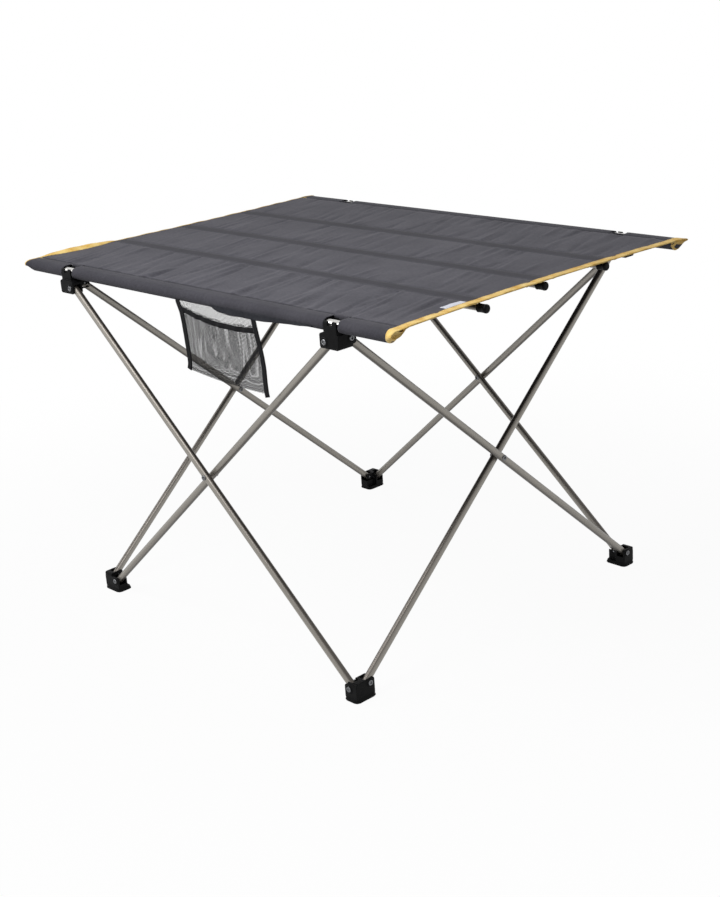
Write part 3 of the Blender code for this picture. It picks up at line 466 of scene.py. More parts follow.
# Poles. Two long poles of 13 mm aluminium tube in the sleeves, each in two sections that push
# together, with a nylon plug in each outer end. They show as bright bands in the gaps at the hubs.
POLE_RADIUS = 0.0065
POLE_WALL = 0.0010
POLE_HALF = 0.352
POLE_HEIGHT = 0.479
POLE_GAP = 0.00015          # middle of the table to the end of a section
SWAGE_LENGTH = 0.040        # reduced end of the left section
SWAGE_RADIUS = 0.0052
SWAGE_ROOT = 0.03           # how far the reduced end starts inside its own section
PLUG = [                    # radius, distance into the tube
    (0, 0.012), (0.0048, 0.012), (0.0052, 0.0115), (0.0052, -0.0003), (0.0065, -0.0003),
    (0.0065, -0.0015), (0.0061, -0.0024), (0.0052, -0.0031), (0.0036, -0.0033),
    (0.0030, -0.0029), (0.0, -0.0029),
]

# Aluminium as drawn, unpolished: paler and brighter than the anodised legs.
bright_aluminium = new_material("drawn_bright_aluminium", "#D2D1CD")
pole_place = add_node(bright_aluminium, "UVMap", {"uv_map": "lay"}, {})
pole_stretch = add_node(bright_aluminium, "Mapping",
                        {"Scale": (1000 / DIE_LINE_MM / 2, 1.5, 1.0)},
                        {"Vector": (pole_place, "UV")})
pole_lines = add_node(bright_aluminium, "TexNoise", {"Scale": 1.0, "Detail": 3.0},
                      {"Vector": (pole_stretch, "Vector")})
pole_tint = add_node(bright_aluminium, "ValToRGB", {}, {"Fac": (pole_lines, "Fac")},
                     [(0.3, "#BEBDB9"), (0.7, "#DEDDDA")])
pole_gloss = add_node(bright_aluminium, "MapRange", {"To Min": 0.2, "To Max": 0.36},
                      {"Value": (pole_lines, "Fac")})
pole_shader = add_node(bright_aluminium, "BsdfPrincipled",
                       {"Base Color": bright_aluminium.diffuse_color, "Roughness": 0.26,
                        "Metallic": 1.0},
                       {"Base Color": (pole_tint, "Color"), "Roughness": (pole_gloss, "Result")})
add_node(bright_aluminium, "OutputMaterial", {}, {"Surface": (pole_shader, "BSDF")})

for label, side_y in (("front", -1), ("back", 1)):
    for hand, side_x in (("left", -1), ("right", 1)):
        node = f"{label}_pole_{hand}"
        lay = (Matrix.Translation((side_x * POLE_HALF, side_y * CORNER, POLE_HEIGHT))
               @ Matrix.Rotation(math.radians(-90 * side_x), 4, "Y"))
        profiles = [tube_profile(POLE_RADIUS, POLE_WALL, 0, POLE_HALF - POLE_GAP)]
        if side_x < 0:
            profiles.append(tube_profile(SWAGE_RADIUS, POLE_WALL, POLE_HALF - SWAGE_ROOT,
                                         POLE_HALF + SWAGE_LENGTH))
        tube = joined([turned(profile, TUBE_SIDES, lay) for profile in profiles])
        keep_crisp(new_piece("tube_" + node, tube, bright_aluminium, "top", [node]))
        keep_crisp(new_piece("plug_" + node, turned(PLUG, TUBE_SIDES, lay, closed=False),
                             moulded_nylon, "top", [node + "_cap"]))


# Stiffener rods. Three 8 mm aluminium tubes in channels under the top keep it flat between the
# poles. Each end has a black moulded cap pushed over it.
ROD_RADIUS = 0.0040
ROD_WALL = 0.0010
ROD_HALF = 0.3532
ROD_HEIGHT = 0.4787
ROD_SIDES = 32
ROD_PLACES = {"front": (0.0117, -0.120), "middle": (0.0, 0.0), "back": (0.0, 0.120)}
ROD_CAP = [                 # radius, distance out from the end of the rod
    (0, 0.0023), (0.0030, 0.0023), (0.0044, 0.0021), (0.0052, 0.0014), (0.0055, 0.0004),
    (0.0055, -0.0012), (0.0052, -0.0016), (0.0052, -0.0104), (0.0055, -0.0108),
    (0.0055, -0.0115), (0.0051, -0.0117), (0.0043, -0.0117), (0.0043, 0.0003), (0, 0.0003),
]

for label, (shift, place_y) in ROD_PLACES.items():
    node = label + "_rod"
    tube = turned(tube_profile(ROD_RADIUS, ROD_WALL, -ROD_HALF, ROD_HALF), ROD_SIDES,
                  Matrix.Translation((shift, place_y, ROD_HEIGHT)) @ turn_along("X"))
    keep_crisp(new_piece("tube_" + node, tube, anodised_aluminium, "top", [node]))
    for hand, side_x in (("left", -1), ("right", 1)):
        lay = (Matrix.Translation((shift + side_x * ROD_HALF, place_y, ROD_HEIGHT))
               @ turn_along("X", side_x))
        keep_crisp(new_piece(f"cap_{node}_{hand}", turned(ROD_CAP, ROD_SIDES, lay, closed=False),
                             moulded_nylon, "top", [f"{node}_{hand}_cap"]))


# Fabric top. One panel of charcoal polyester, plain woven from thick yarn and coated underneath.
# It is stretched between the poles: its long edges are sewn back under themselves as sleeves, and
# cut away at the four hubs. The pull leaves fine slanting creases from seam to seam.
TABLE_LENGTH = 0.735
FABRIC_HEIGHT = 0.487
SLEEVE_RADIUS = 0.008
SEAM_INSET = 0.0145          # pole axis to the seam under the sheet
SEAM_DROP = 0.0012           # crown of a sleeve to the cloth at its seam
FABRIC = 0.0005
TOP_HALF_WIDTH = 0.275
EDGE_ROOM = 0.0011           # end of a binding to the edge of the cloth in its fold
TOP_HALF_LENGTH = TABLE_LENGTH / 2 - EDGE_ROOM
END_BOW = 0.010              # how far a short end is pulled in at its middle
BOW_START = 0.285
NOTCH_HALF = 0.012           # half length of the gap at a hub
NOTCH_EDGE = 0.0106          # pole axis to the edge behind a gap
ROD_PITCH = 0.120
CHANNEL_SEAM = 0.011
COLUMN_STOPS = [-0.354, -0.279, -0.255, 0.255, 0.279, 0.354]    # near the ends, and at the gaps
COLUMN_PITCH = 0.0026
END_COLUMNS = 8
ROWS_AT_SEAM = (-0.0030, -0.0014, 0, 0.0014, 0.0030)
ROW_PITCH = 0.0050
SLEEVE_STEPS = 20
SLEEVE_LOW = 0.472           # underside of a sleeve
SLEEVE_SEAM = 0.2525
SLEEVE_SPREAD = 0.0030       # how much wider the empty end of a sleeve lies
SLEEVE_SAG = 0.0012
CLOSED_FRONT = 0.5           # share of its height that the empty end of a sleeve loses
CLOSED_BACK = 0.85
POLE_END = 0.3553
CLEAR_OF_POLE = 0.0005
SLEEVE_PULL, SLEEVE_PULL_WIDTH = 0.0012, 0.0022      # depth and width of the dip along a seam
CHANNEL_PULL, CHANNEL_PULL_WIDTH = 0.0006, 0.0016
CREASE_PANELS = [            # its two edges, how strong its creases are, how many it has
    (-SLEEVE_SEAM, -ROD_PITCH - CHANNEL_SEAM, 1.3, 150),
    (-ROD_PITCH + CHANNEL_SEAM, -CHANNEL_SEAM, 0.75, 110),
    (CHANNEL_SEAM, ROD_PITCH - CHANNEL_SEAM, 0.75, 110),
    (ROD_PITCH + CHANNEL_SEAM, SLEEVE_SEAM, 1.0, 130),
]
CREASE_SPAN = 0.37           # from the middle, along X
CREASE_FRONT_SHARE = 0.6     # share of them that starts at a panel's front edge
CREASE_REACH = (0.4, 1.0)    # shortest and longest, as a share of the panel
CREASE_LEAN = (-0.27, 0.10)  # drift along X for its length across: mean and spread
CREASE_WIDTH = (0.0028, 0.0055)
CREASE_RISE = (-0.0002, 0.0017)      # mean and spread
CREASE_START = 0.008         # length over which it grows from its seam
CREASE_ENDS = (0.325, 0.352) # from the middle, where they die out
CREASE_LIMIT = 0.0021        # no crease is higher or deeper
HEM_CLOTH = 0.0004
HEM_TURN = [                 # distance in from the pole axis, height above the sheet
    (0.0140, 0.0006), (0.0122, 0.0007), (0.0110, 0.0006), (0.0106, 0.0001),
    (0.0104, -0.0008), (0.0104, -0.0025), (0.0105, -0.0055),
]
HEM_OVERLAP = 0.0006         # how far a hem runs past each side of its gap
HEM_COLUMNS = 13
HEM_LENGTH = 0.0085          # along its section
HEM_PUCKER = 0.0002

# Woven polyester, dyed charcoal with a cool violet cast: matt, with a faint sheen on the yarns.
# The yarns are 0.5 mm apart, and drawn 0.9 mm apart so that the weave shows. They are thicker here
# and there, every 4 mm or so, and the dye is cloudy over about 70 mm. Painted shade darkens a band
# over each rod, a thin line along each sleeve's seam, and the sleeves beyond their seams.
YARN_MM = 0.9
SLUB_MM = 3.846
DYE_CLOUD_MM = 71.43
ROD_BAND_SHADE = (0.005, 0.012)   # from a rod, where the painted shade is full and where it ends
SHADED_BANDS_WITHIN = 0.18          # from the middle of the table
SEAM_SHADE = (0.0008, 0.0030) # the same from a sleeve's seam
SLEEVE_SHADE_FULL = 0.002          # from that seam, where the painted shade of the sleeve is full
woven_polyester = new_material("woven_polyester_charcoal", "#57565C")
woven_place = add_node(woven_polyester, "UVMap", {"uv_map": "lay"}, {})
warp, weft = (add_node(woven_polyester, "TexWave",
                       {"wave_type": "BANDS", "bands_direction": way, "Distortion": 0.6,
                        "Scale": 1000 / YARN_MM / 20 * math.pi, "Detail": 1.0,
                        "Detail Scale": 1.5}, {"Vector": (woven_place, "UV")}) for way in "XY")
weave = add_node(woven_polyester, "Math", {"operation": "MULTIPLY"},
                 {0: (warp, "Fac"), 1: (weft, "Fac")})
woven_object = add_node(woven_polyester, "TexCoord", {}, {})
slub = add_node(woven_polyester, "TexNoise", {"Scale": 1000 / SLUB_MM, "Detail": 4.0},
                {"Vector": (woven_object, "Object")})
cloud = add_node(woven_polyester, "TexNoise", {"Scale": 1000 / DYE_CLOUD_MM, "Detail": 3.0},
                 {"Vector": (woven_object, "Object")})
slub_tint = add_node(woven_polyester, "ValToRGB", {}, {"Fac": (slub, "Fac")},
                     [(0.3, "#4C4B52"), (0.7, "#5B5A61")])
cloud_tint = add_node(woven_polyester, "ValToRGB", {}, {"Fac": (cloud, "Fac")},
                      [(0.3, "#D9D9DC"), (0.7, "#FFFFFF")])
cloth_tint = add_node(woven_polyester, "Mix",
                      {"data_type": "RGBA", "blend_type": "MULTIPLY", 0: 1.0},
                      {6: (slub_tint, "Color"), 7: (cloud_tint, "Color")})
across = add_node(woven_polyester, "SeparateXYZ", {}, {"Vector": (woven_object, "Object")})
repeat = add_node(woven_polyester, "Math", {"operation": "PINGPONG", 1: ROD_PITCH / 2},
                  {0: (across, "Y")})
rod_band_shade = add_node(woven_polyester, "MapRange",
                {"interpolation_type": "SMOOTHSTEP", "From Min": ROD_BAND_SHADE[0],
                 "From Max": ROD_BAND_SHADE[1], "To Min": 1.0, "To Max": 0.0},
                {"Value": (repeat, "Value")})
outside = add_node(woven_polyester, "Math", {"operation": "ABSOLUTE"}, {0: (across, "Y")})
only_rods = add_node(woven_polyester, "Math", {"operation": "LESS_THAN", 1: SHADED_BANDS_WITHIN},
                     {0: (outside, "Value")})
rod_shade_here = add_node(woven_polyester, "Math", {"operation": "MULTIPLY"},
                     {0: (rod_band_shade, "Result"), 1: (only_rods, "Value")})
seam_gap = add_node(woven_polyester, "Math", {"operation": "SUBTRACT", 1: SLEEVE_SEAM},
                    {0: (outside, "Value")})
seam_away = add_node(woven_polyester, "Math", {"operation": "ABSOLUTE"}, {0: (seam_gap, "Value")})
# Painted shade along each sleeve's seam, where the thread pulls a groove.
seam_shade = add_node(woven_polyester, "MapRange",
                      {"interpolation_type": "SMOOTHSTEP", "From Min": SEAM_SHADE[0],
                       "From Max": SEAM_SHADE[1], "To Min": 0.9, "To Max": 0.0},
                      {"Value": (seam_away, "Value")})
# Painted shade over each sleeve beyond its seam.
sleeve_shade = add_node(woven_polyester, "MapRange",
                        {"interpolation_type": "SMOOTHSTEP", "From Min": 0.0,
                         "From Max": SLEEVE_SHADE_FULL, "To Min": 0.0, "To Max": 0.7},
                        {"Value": (seam_gap, "Value")})
shade = add_node(woven_polyester, "Math", {"operation": "MAXIMUM"},
                 {0: (seam_shade, "Result"), 1: (sleeve_shade, "Result")})
all_shade = add_node(woven_polyester, "Math", {"operation": "MAXIMUM"},
                     {0: (shade, "Value"), 1: (rod_shade_here, "Value")})
# Painted shade: the cloth's tint is multiplied by this grey over the rods, the seams and the
# sleeves.
cloth_with_painted_shade = add_node(woven_polyester, "Mix",
                  {"data_type": "RGBA", "blend_type": "MULTIPLY", 7: linear_colour("#AEADB2")},
                  {0: (all_shade, "Value"), 6: (cloth_tint, 2)})
woven_gloss = add_node(woven_polyester, "MapRange", {"To Min": 0.70, "To Max": 0.88},
                       {"Value": (slub, "Fac")})
weave_height = add_node(woven_polyester, "Math", {"operation": "ADD"},
                        {0: (weave, "Value"), 1: (slub, "Fac")})
woven_bump = add_node(woven_polyester, "Bump", {"Strength": 0.35, "Distance": 0.00012},
                      {"Height": (weave_height, "Value")})
woven_shader = add_node(woven_polyester, "BsdfPrincipled",
                        {"Base Color": woven_polyester.diffuse_color, "Roughness": 0.8,
                         "Specular IOR Level": 0.22, "Sheen Weight": 0.05, "Sheen Roughness": 0.45},
                        {"Base Color": (cloth_with_painted_shade, 2), "Roughness": (woven_gloss, "Result"),
                         "Normal": (woven_bump, "Normal")})
add_node(woven_polyester, "OutputMaterial", {}, {"Surface": (woven_shader, "BSDF")})


def cloth_grid(name, points, spots, keep=None, faces_flip=False):
    """Sheet of quads through a grid of points, with UVs in metres along the flat cloth."""
    rows, columns = points.shape[:2]
    index = np.arange(rows * columns).reshape(rows, columns)
    quads = np.stack([index[:-1, :-1], index[:-1, 1:], index[1:, 1:], index[1:, :-1]], axis=-1)
    if keep is not None:
        quads = quads[keep]
    quads = quads.reshape(-1, 4)
    if faces_flip:
        quads = quads[:, ::-1]
    used, quads = np.unique(quads, return_inverse=True)
    quads = quads.reshape(-1, 4)
    mesh = bpy.data.meshes.new(name)
    mesh.from_pydata(points.reshape(-1, 3)[used].tolist(), [], quads.tolist())
    layer = mesh.uv_layers.new(name="lay")
    corner_spots = spots.reshape(-1, 2)[used][quads.ravel()]
    layer.data.foreach_set("uv", corner_spots.astype(np.float32).ravel())
    return mesh


def thickened(mesh, thickness, offset):
    """A sheet with its thickness. The offset tells to which side of its faces it grows."""
    return applied(mesh, [("SOLIDIFY", {"thickness": thickness, "offset": offset})])


def lengths_along(path):
    """Distance along a path to each of its points."""
    return np.concatenate([[0], np.cumsum(np.linalg.norm(np.diff(path, axis=0), axis=1))])


def sleeve_section():
    """Half section of the top, from the seam under the sheet round the pole to the crown."""
    height = SLEEVE_RADIUS - SEAM_DROP
    tangent = math.degrees(math.atan2(height, SEAM_INSET)
                           - math.acos(SLEEVE_RADIUS / math.hypot(SEAM_INSET, height)))
    angles = np.radians(np.linspace(360 + tangent, 90, SLEEVE_STEPS))
    drop = np.where(np.sin(angles) < 0, POLE_HEIGHT - SLEEVE_LOW, SLEEVE_RADIUS)
    ring = np.stack([-CORNER + SLEEVE_RADIUS * np.cos(angles),
                     POLE_HEIGHT + drop * np.sin(angles)], axis=1)
    seam = np.array([[-CORNER + SEAM_INSET, POLE_HEIGHT + height]])
    return np.vstack([seam, (seam + ring[:1]) / 2, ring])


def smooth_step(value, low, high):
    """Smooth change from 0 at low to 1 at high."""
    share = np.clip((value - low) / (high - low), 0, 1)
    return share * share * (3 - 2 * share)


def end_bow(x, y):
    """X of a point of the cloth once the short ends are pulled in at their middle."""
    share = np.clip(1 - (y / TOP_HALF_WIDTH) ** 2, 0, 1)
    return x - np.sign(x) * END_BOW * share * smooth_step(np.abs(x), BOW_START, TOP_HALF_LENGTH)


def flattened(x, y, z):
    """Sleeve points past the end of the pole, where nothing holds the cloth round."""
    share = smooth_step(np.abs(x), POLE_END + CLEAR_OF_POLE, TOP_HALF_LENGTH)
    share = share * (np.abs(y) > SLEEVE_SEAM - 0.001)
    out = np.clip((np.abs(y) - SLEEVE_SEAM) / (TOP_HALF_WIDTH - SLEEVE_SEAM), 0, 1)
    sag = SLEEVE_SAG * out * share
    closing = np.where(y > 0, CLOSED_BACK, CLOSED_FRONT) * share
    return (y + np.sign(y) * SLEEVE_SPREAD * out * share,
            FABRIC_HEIGHT - (FABRIC_HEIGHT - z) * (1 - closing) - sag)


creases = np.random.default_rng(27)


def crease_height(x, y):
    """Height of the pull creases: slanting ridges that start at a seam and die out in the panel."""
    height = np.zeros_like(x)
    for low, high, strength, count in CREASE_PANELS:
        for _ in range(count):
            middle = creases.uniform(-CREASE_SPAN, CREASE_SPAN)
            from_low = creases.random() < CREASE_FRONT_SHARE
            start = low if from_low else high
            reach = creases.uniform(*CREASE_REACH) * (high - low)
            lean = creases.normal(*CREASE_LEAN)
            width = creases.uniform(*CREASE_WIDTH)
            rise = creases.normal(*CREASE_RISE) * strength
            away = (y - start) if from_low else (start - y)
            line = middle + lean * (y - start)
            share = np.clip(away / reach, 0, 1)
            fade = np.clip(away / CREASE_START, 0, 1) * (1 - share) ** 1.1
            height += rise * fade * np.exp(-((x - line) / width) ** 2)
    ends = 1 - smooth_step(np.abs(x), *CREASE_ENDS)
    return CREASE_LIMIT * np.tanh(height / CREASE_LIMIT) * ends


section = sleeve_section()
back_section = section[::-1] * (-1, 1)
channel_seams = [side + middle for middle in (-ROD_PITCH, 0, ROD_PITCH)
                 for side in (-CHANNEL_SEAM, CHANNEL_SEAM)]
seam_lines = [-SLEEVE_SEAM, SLEEVE_SEAM] + channel_seams
row_stops = sorted([seam + step for seam in seam_lines for step in ROWS_AT_SEAM]
                   + [-CORNER, CORNER])
flat_rows = spaced(row_stops, ROW_PITCH)[1:-1]
path = np.vstack([section, np.stack([flat_rows, np.full(len(flat_rows), FABRIC_HEIGHT)], axis=1),
                  back_section])
path_length = lengths_along(path)
columns = spaced(COLUMN_STOPS, COLUMN_PITCH)
end_columns = np.linspace(COLUMN_STOPS[-1], TOP_HALF_LENGTH, END_COLUMNS)[1:]
columns = np.concatenate([-end_columns[::-1], columns, end_columns])
grid_x = np.tile(columns, (len(path), 1))
grid_y = np.repeat(path[:, :1], len(columns), axis=1)
grid_z = np.repeat(path[:, 1:], len(columns), axis=1)
on_top = smooth_step(grid_z, POLE_HEIGHT + 0.004, FABRIC_HEIGHT - 0.0002)
height = crease_height(grid_x, grid_y)


def seam_depth(y):
    """How far the thread pulls the cloth down at its seams."""
    depth = SLEEVE_PULL * np.exp(-((np.abs(y) - SLEEVE_SEAM) / SLEEVE_PULL_WIDTH) ** 2)
    for seam in channel_seams:
        depth = depth + CHANNEL_PULL * np.exp(-((y - seam) / CHANNEL_PULL_WIDTH) ** 2)
    return depth


sleeve_y, sleeve_z = flattened(grid_x, grid_y, grid_z)
lifted = sleeve_z + on_top * (height - seam_depth(grid_y))
points = np.stack([end_bow(grid_x, grid_y), sleeve_y, lifted], axis=-1)
spots = np.stack([grid_x, np.repeat(path_length[:, None], len(columns), axis=1)], axis=-1)
middle_x = (grid_x[:-1, :-1] + grid_x[1:, 1:]) / 2
middle_y = (grid_y[:-1, :-1] + grid_y[1:, 1:]) / 2
in_notch = ((np.abs(np.abs(middle_x) - CORNER) < NOTCH_HALF)
            & (np.abs(middle_y) > CORNER - NOTCH_EDGE))
top_cloth = cloth_grid("fabric_top", points, spots, ~in_notch, faces_flip=True)
top_sheet = new_piece("fabric_top", thickened(top_cloth, FABRIC, -1.0), woven_polyester, "top",
                      ["tabletop_fabric"])

# The cut edge of the cloth behind each hub is turned down and hemmed.
notch_turn = np.array(HEM_TURN)
notch_x = np.linspace(-NOTCH_HALF - HEM_OVERLAP, NOTCH_HALF + HEM_OVERLAP, HEM_COLUMNS)
notch_hems = []
for corner_x, corner_y in CORNERS.values():
    hem_x = np.tile(corner_x * CORNER + notch_x, (len(notch_turn), 1))
    hem_y = np.repeat(corner_y * (CORNER - notch_turn[:, :1]), len(notch_x), axis=1)
    hem_z = FABRIC_HEIGHT + np.repeat(notch_turn[:, 1:], len(notch_x), axis=1)
    hem_z += HEM_PUCKER * np.sin(hem_x * 900)
    lay_along = np.linspace(0, HEM_LENGTH, len(notch_turn))[:, None]
    notch_hems.append(cloth_grid("notch_hem", np.stack([hem_x, hem_y, hem_z], axis=-1),
                                 np.stack([hem_x, lay_along + 0 * hem_x], axis=-1),
                                 faces_flip=corner_y > 0))
hems = new_piece("notch_hems", thickened(joined(notch_hems), HEM_CLOTH, 0.0), woven_polyester,
                 "top")
top_rows_y = grid_y[SLEEVE_STEPS + 1:len(path) - SLEEVE_STEPS - 1, 0]
top_heights = lifted[SLEEVE_STEPS + 1:len(path) - SLEEVE_STEPS - 1]


# Rod channels. Three strips of the same cloth sewn under the top in two rows each, with a rod
# sliding in the tunnel between.
CHANNEL_HALF = 0.325
CHANNEL_RADIUS = 0.0050
CHANNEL_MARGIN = 0.004       # cloth outside each seam
CHANNEL_CLOTH = 0.0004
CHANNEL_GAP = 0.0003         # and one cloth: the sheet's grid to the strip's
CHANNEL_STEPS = 15
CHANNEL_PITCH = 0.006
CHANNEL_PUCKER = 0.0003


def channel_section(radius, top):
    """Section of a channel from its left seam, down round the rod and up to its right seam."""
    height = top - ROD_HEIGHT
    lean = math.degrees(math.atan2(height, CHANNEL_SEAM)
                        - math.acos(radius / math.hypot(CHANNEL_SEAM, height)))
    angles = np.radians(np.linspace(180 - lean, 360 + lean, CHANNEL_STEPS))
    ring = np.stack([radius * np.cos(angles), ROD_HEIGHT + radius * np.sin(angles)], axis=1)
    left = np.array([[-CHANNEL_SEAM - CHANNEL_MARGIN, top], [-CHANNEL_SEAM, top]])
    right = np.array([[CHANNEL_SEAM, top], [CHANNEL_SEAM + CHANNEL_MARGIN, top]])
    return np.vstack([left, (left[1:] + ring[:1]) / 2, ring, (right[:1] + ring[-1:]) / 2, right])


for label, (_, place_y) in ROD_PLACES.items():
    path = channel_section(CHANNEL_RADIUS, FABRIC_HEIGHT - FABRIC - CHANNEL_GAP)
    length = lengths_along(path)
    along = spaced([-CHANNEL_HALF, CHANNEL_HALF], CHANNEL_PITCH)
    grid_x = np.tile(along, (len(path), 1))
    waves = np.sin(grid_x * 310 + 2.1 * np.sin(grid_x * 57))
    pucker = CHANNEL_PUCKER * waves * np.linspace(0, 1, len(path))[:, None]
    grid_y = place_y + np.repeat(path[:, :1], len(along), axis=1)
    grid_z = np.repeat(path[:, 1:], len(along), axis=1) - np.abs(pucker) * 0.6
    points = np.stack([grid_x, grid_y, grid_z], axis=-1)
    spots = np.stack([grid_x, np.repeat(length[:, None], len(along), axis=1)], axis=-1)
    strip = new_piece(label + "_rod_channel",
                      thickened(cloth_grid("channel", points, spots), CHANNEL_CLOTH, 1.0),
                      woven_polyester, "top")


# End bindings. Amber grosgrain tape folded over each short end of the top and sewn through. It
# runs on round the ends of both sleeves, where it bunches and twists a little, and its tucked ends
# close their mouths.
BINDING = 0.0004             # thickness of the tape
BINDING_WIDTH = 0.012        # what shows of the right one on top
BINDING_PITCH = 0.004
LEFT_SHOWS = 0.0014          # what shows of the left one, and how much more in its curl
LEFT_CURL_SHOWS = 0.0100
CURL_FRONT = -0.252          # where the left binding stands up in a curl
CURL_BACK = -0.128
CURL_RISE = 0.0042
MOUTH_TUCK = 0.0012          # how far the tape is tucked into a sleeve's mouth
MOUTH_INSET = 0.0006
MOUTH_CRUMPLE = 0.0006
MOUTH_RINGS = [1.0, 0.86, 0.7, 0.52, 0.34, 0.16, 0.02]
FOLD = [                     # share of the width in from the end, height off the cloth's middle
    (1.0, 0.0003), (0.97, 0.0008), (0.8, 0.0009), (0.4, 0.0009), (0.17, 0.0010), (0.06, 0.0008),
    (0.012, 0.0004), (0.0, 0.0), (0.012, -0.0005), (0.06, -0.0009), (0.18, -0.0010),
    (0.4, -0.0010), (0.8, -0.0010), (0.96, -0.0009),
]
UNDER_WIDER = 0.002          # how much further the tape reaches on the underside
BINDING_WAVES = [(0.00022, 190, 0), (0.00018, 77, 1.3)]      # height, radians per metre, start
SEAM_DIP = 1.2               # how deep its underside follows a seam's dip, as a share of that

# Grosgrain polyester ribbon, dyed amber: matt, with a rib every 1.2 mm across it, coarser than the
# real 0.7 mm so that it shows, and browner in rubbed patches about 14 mm across.
RIB_MM = 1.2
RUBBED_MM = 14.286
grosgrain = new_material("grosgrain_amber", "#EFC468")
grosgrain_place = add_node(grosgrain, "UVMap", {"uv_map": "lay"}, {})
ribs = add_node(grosgrain, "TexWave",
                {"wave_type": "BANDS", "bands_direction": "Y", "Distortion": 0.4, "Detail": 1.0,
                 "Scale": 1000 / RIB_MM / 20 * math.pi}, {"Vector": (grosgrain_place, "UV")})
grosgrain_object = add_node(grosgrain, "TexCoord", {}, {})
rubbed = add_node(grosgrain, "TexNoise", {"Scale": 1000 / RUBBED_MM, "Detail": 5.0},
                  {"Vector": (grosgrain_object, "Object")})
grosgrain_tint = add_node(grosgrain, "ValToRGB", {}, {"Fac": (rubbed, "Fac")},
                          [(0.32, "#DFAF4C"), (0.62, "#F9D98A")])
grosgrain_bump = add_node(grosgrain, "Bump", {"Strength": 0.4, "Distance": 0.0002},
                          {"Height": (ribs, "Fac")})
grosgrain_shader = add_node(grosgrain, "BsdfPrincipled",
                            {"Base Color": grosgrain.diffuse_color, "Roughness": 0.7,
                             "Specular IOR Level": 0.2, "Sheen Weight": 0.15},
                            {"Base Color": (grosgrain_tint, "Color"),
                             "Normal": (grosgrain_bump, "Normal")})
add_node(grosgrain, "OutputMaterial", {}, {"Surface": (grosgrain_shader, "BSDF")})


def mouth_patch(side_x, side_y):
    """End of the tape tucked across the open end of a sleeve: rings of points shrinking inward."""
    rim = sleeve_section()[1:] * (-side_y, 1)
    shares = np.array(MOUTH_RINGS)
    middle = rim.mean(axis=0)
    angle = np.arctan2(rim[:, 1] - middle[1], rim[:, 0] - middle[0])
    rings = middle + (rim - middle) * shares[:, None, None]
    x = side_x * (TABLE_LENGTH / 2 - MOUTH_INSET - MOUTH_TUCK * np.sqrt(1 - shares[:, None] ** 2)
                  + MOUTH_CRUMPLE * (1 - shares[:, None]) * np.sin(3 * angle[None, :] + side_y))
    y, z = flattened(x, rings[..., 0], rings[..., 1])
    points = np.stack([x, y, z], axis=-1)
    points = np.concatenate([points, points[:, :1]], axis=1)
    return cloth_grid("mouth", points, points[..., 1:], faces_flip=side_x * side_y > 0)


def binding_mesh(side_x):
    """Tape folded over the end edge: a grid of points round its fold, all along the edge."""
    outline = sleeve_section()
    flat = spaced([-CORNER, CORNER], BINDING_PITCH)[1:-1]
    edge = np.vstack([outline, np.stack([flat, np.full(len(flat), FABRIC_HEIGHT)], axis=1),
                      outline[::-1] * (-1, 1)])
    edge_y, edge_z = edge.T
    along = lengths_along(edge)
    on_flat = edge_z > FABRIC_HEIGHT - 0.0001
    place = np.clip((edge_y - CURL_FRONT) / (CURL_BACK - CURL_FRONT), 0, 1)
    bump = np.where(on_flat & (side_x < 0), np.maximum(np.sin(np.pi * place), 0) ** 0.8, 0)
    wide = np.where(side_x < 0, LEFT_SHOWS + LEFT_CURL_SHOWS * bump, BINDING_WIDTH)
    wave = sum(high * np.sin(along * turns + start) for high, turns, start in BINDING_WAVES)
    bow = END_BOW * np.clip(1 - (edge_y / TOP_HALF_WIDTH) ** 2, 0, 1)
    layers = []
    for share_in, out in FOLD:
        inset = share_in * (BINDING_WIDTH + UNDER_WIDER) if out < 0 else share_in * wide
        rise = CURL_RISE * bump * (1 - np.clip(inset / wide, 0, 1)) ** 0.8
        x = side_x * (TABLE_LENGTH / 2 - inset + np.zeros(len(edge)))
        y, z = flattened(x, edge_y, edge_z)
        tangent = np.gradient(np.stack([y, z], axis=1), axis=0)
        tangent /= np.linalg.norm(tangent, axis=1)[:, None]
        lift = out + rise + (wave if out > 0 else -SEAM_DIP * seam_depth(edge_y) * on_flat)
        layers.append(np.stack([x - side_x * bow, y - tangent[:, 1] * lift,
                                z + tangent[:, 0] * lift], axis=1))
    points = np.stack(layers, axis=1)
    steps = np.linalg.norm(np.diff(points, axis=1), axis=2)
    round_fold = np.concatenate([np.zeros((len(edge), 1)), np.cumsum(steps, axis=1)], axis=1)
    spots = np.stack([round_fold, np.repeat(along[:, None], len(FOLD), axis=1)], axis=-1)
    tape = cloth_grid("binding", points, spots, faces_flip=side_x < 0)
    parts = [tape] + [mouth_patch(side_x, side_y) for side_y in (-1, 1)]
    return thickened(joined(parts), BINDING, -1.0), float(along[-1])


for label, side_x, tape_width in (("left", -1, 0.020), ("right", 1, 0.025)):
    mesh, tape_length = binding_mesh(side_x)
    piece = new_piece(label + "_amber_binding", mesh, grosgrain, "top",
                      [label + "_binding"])


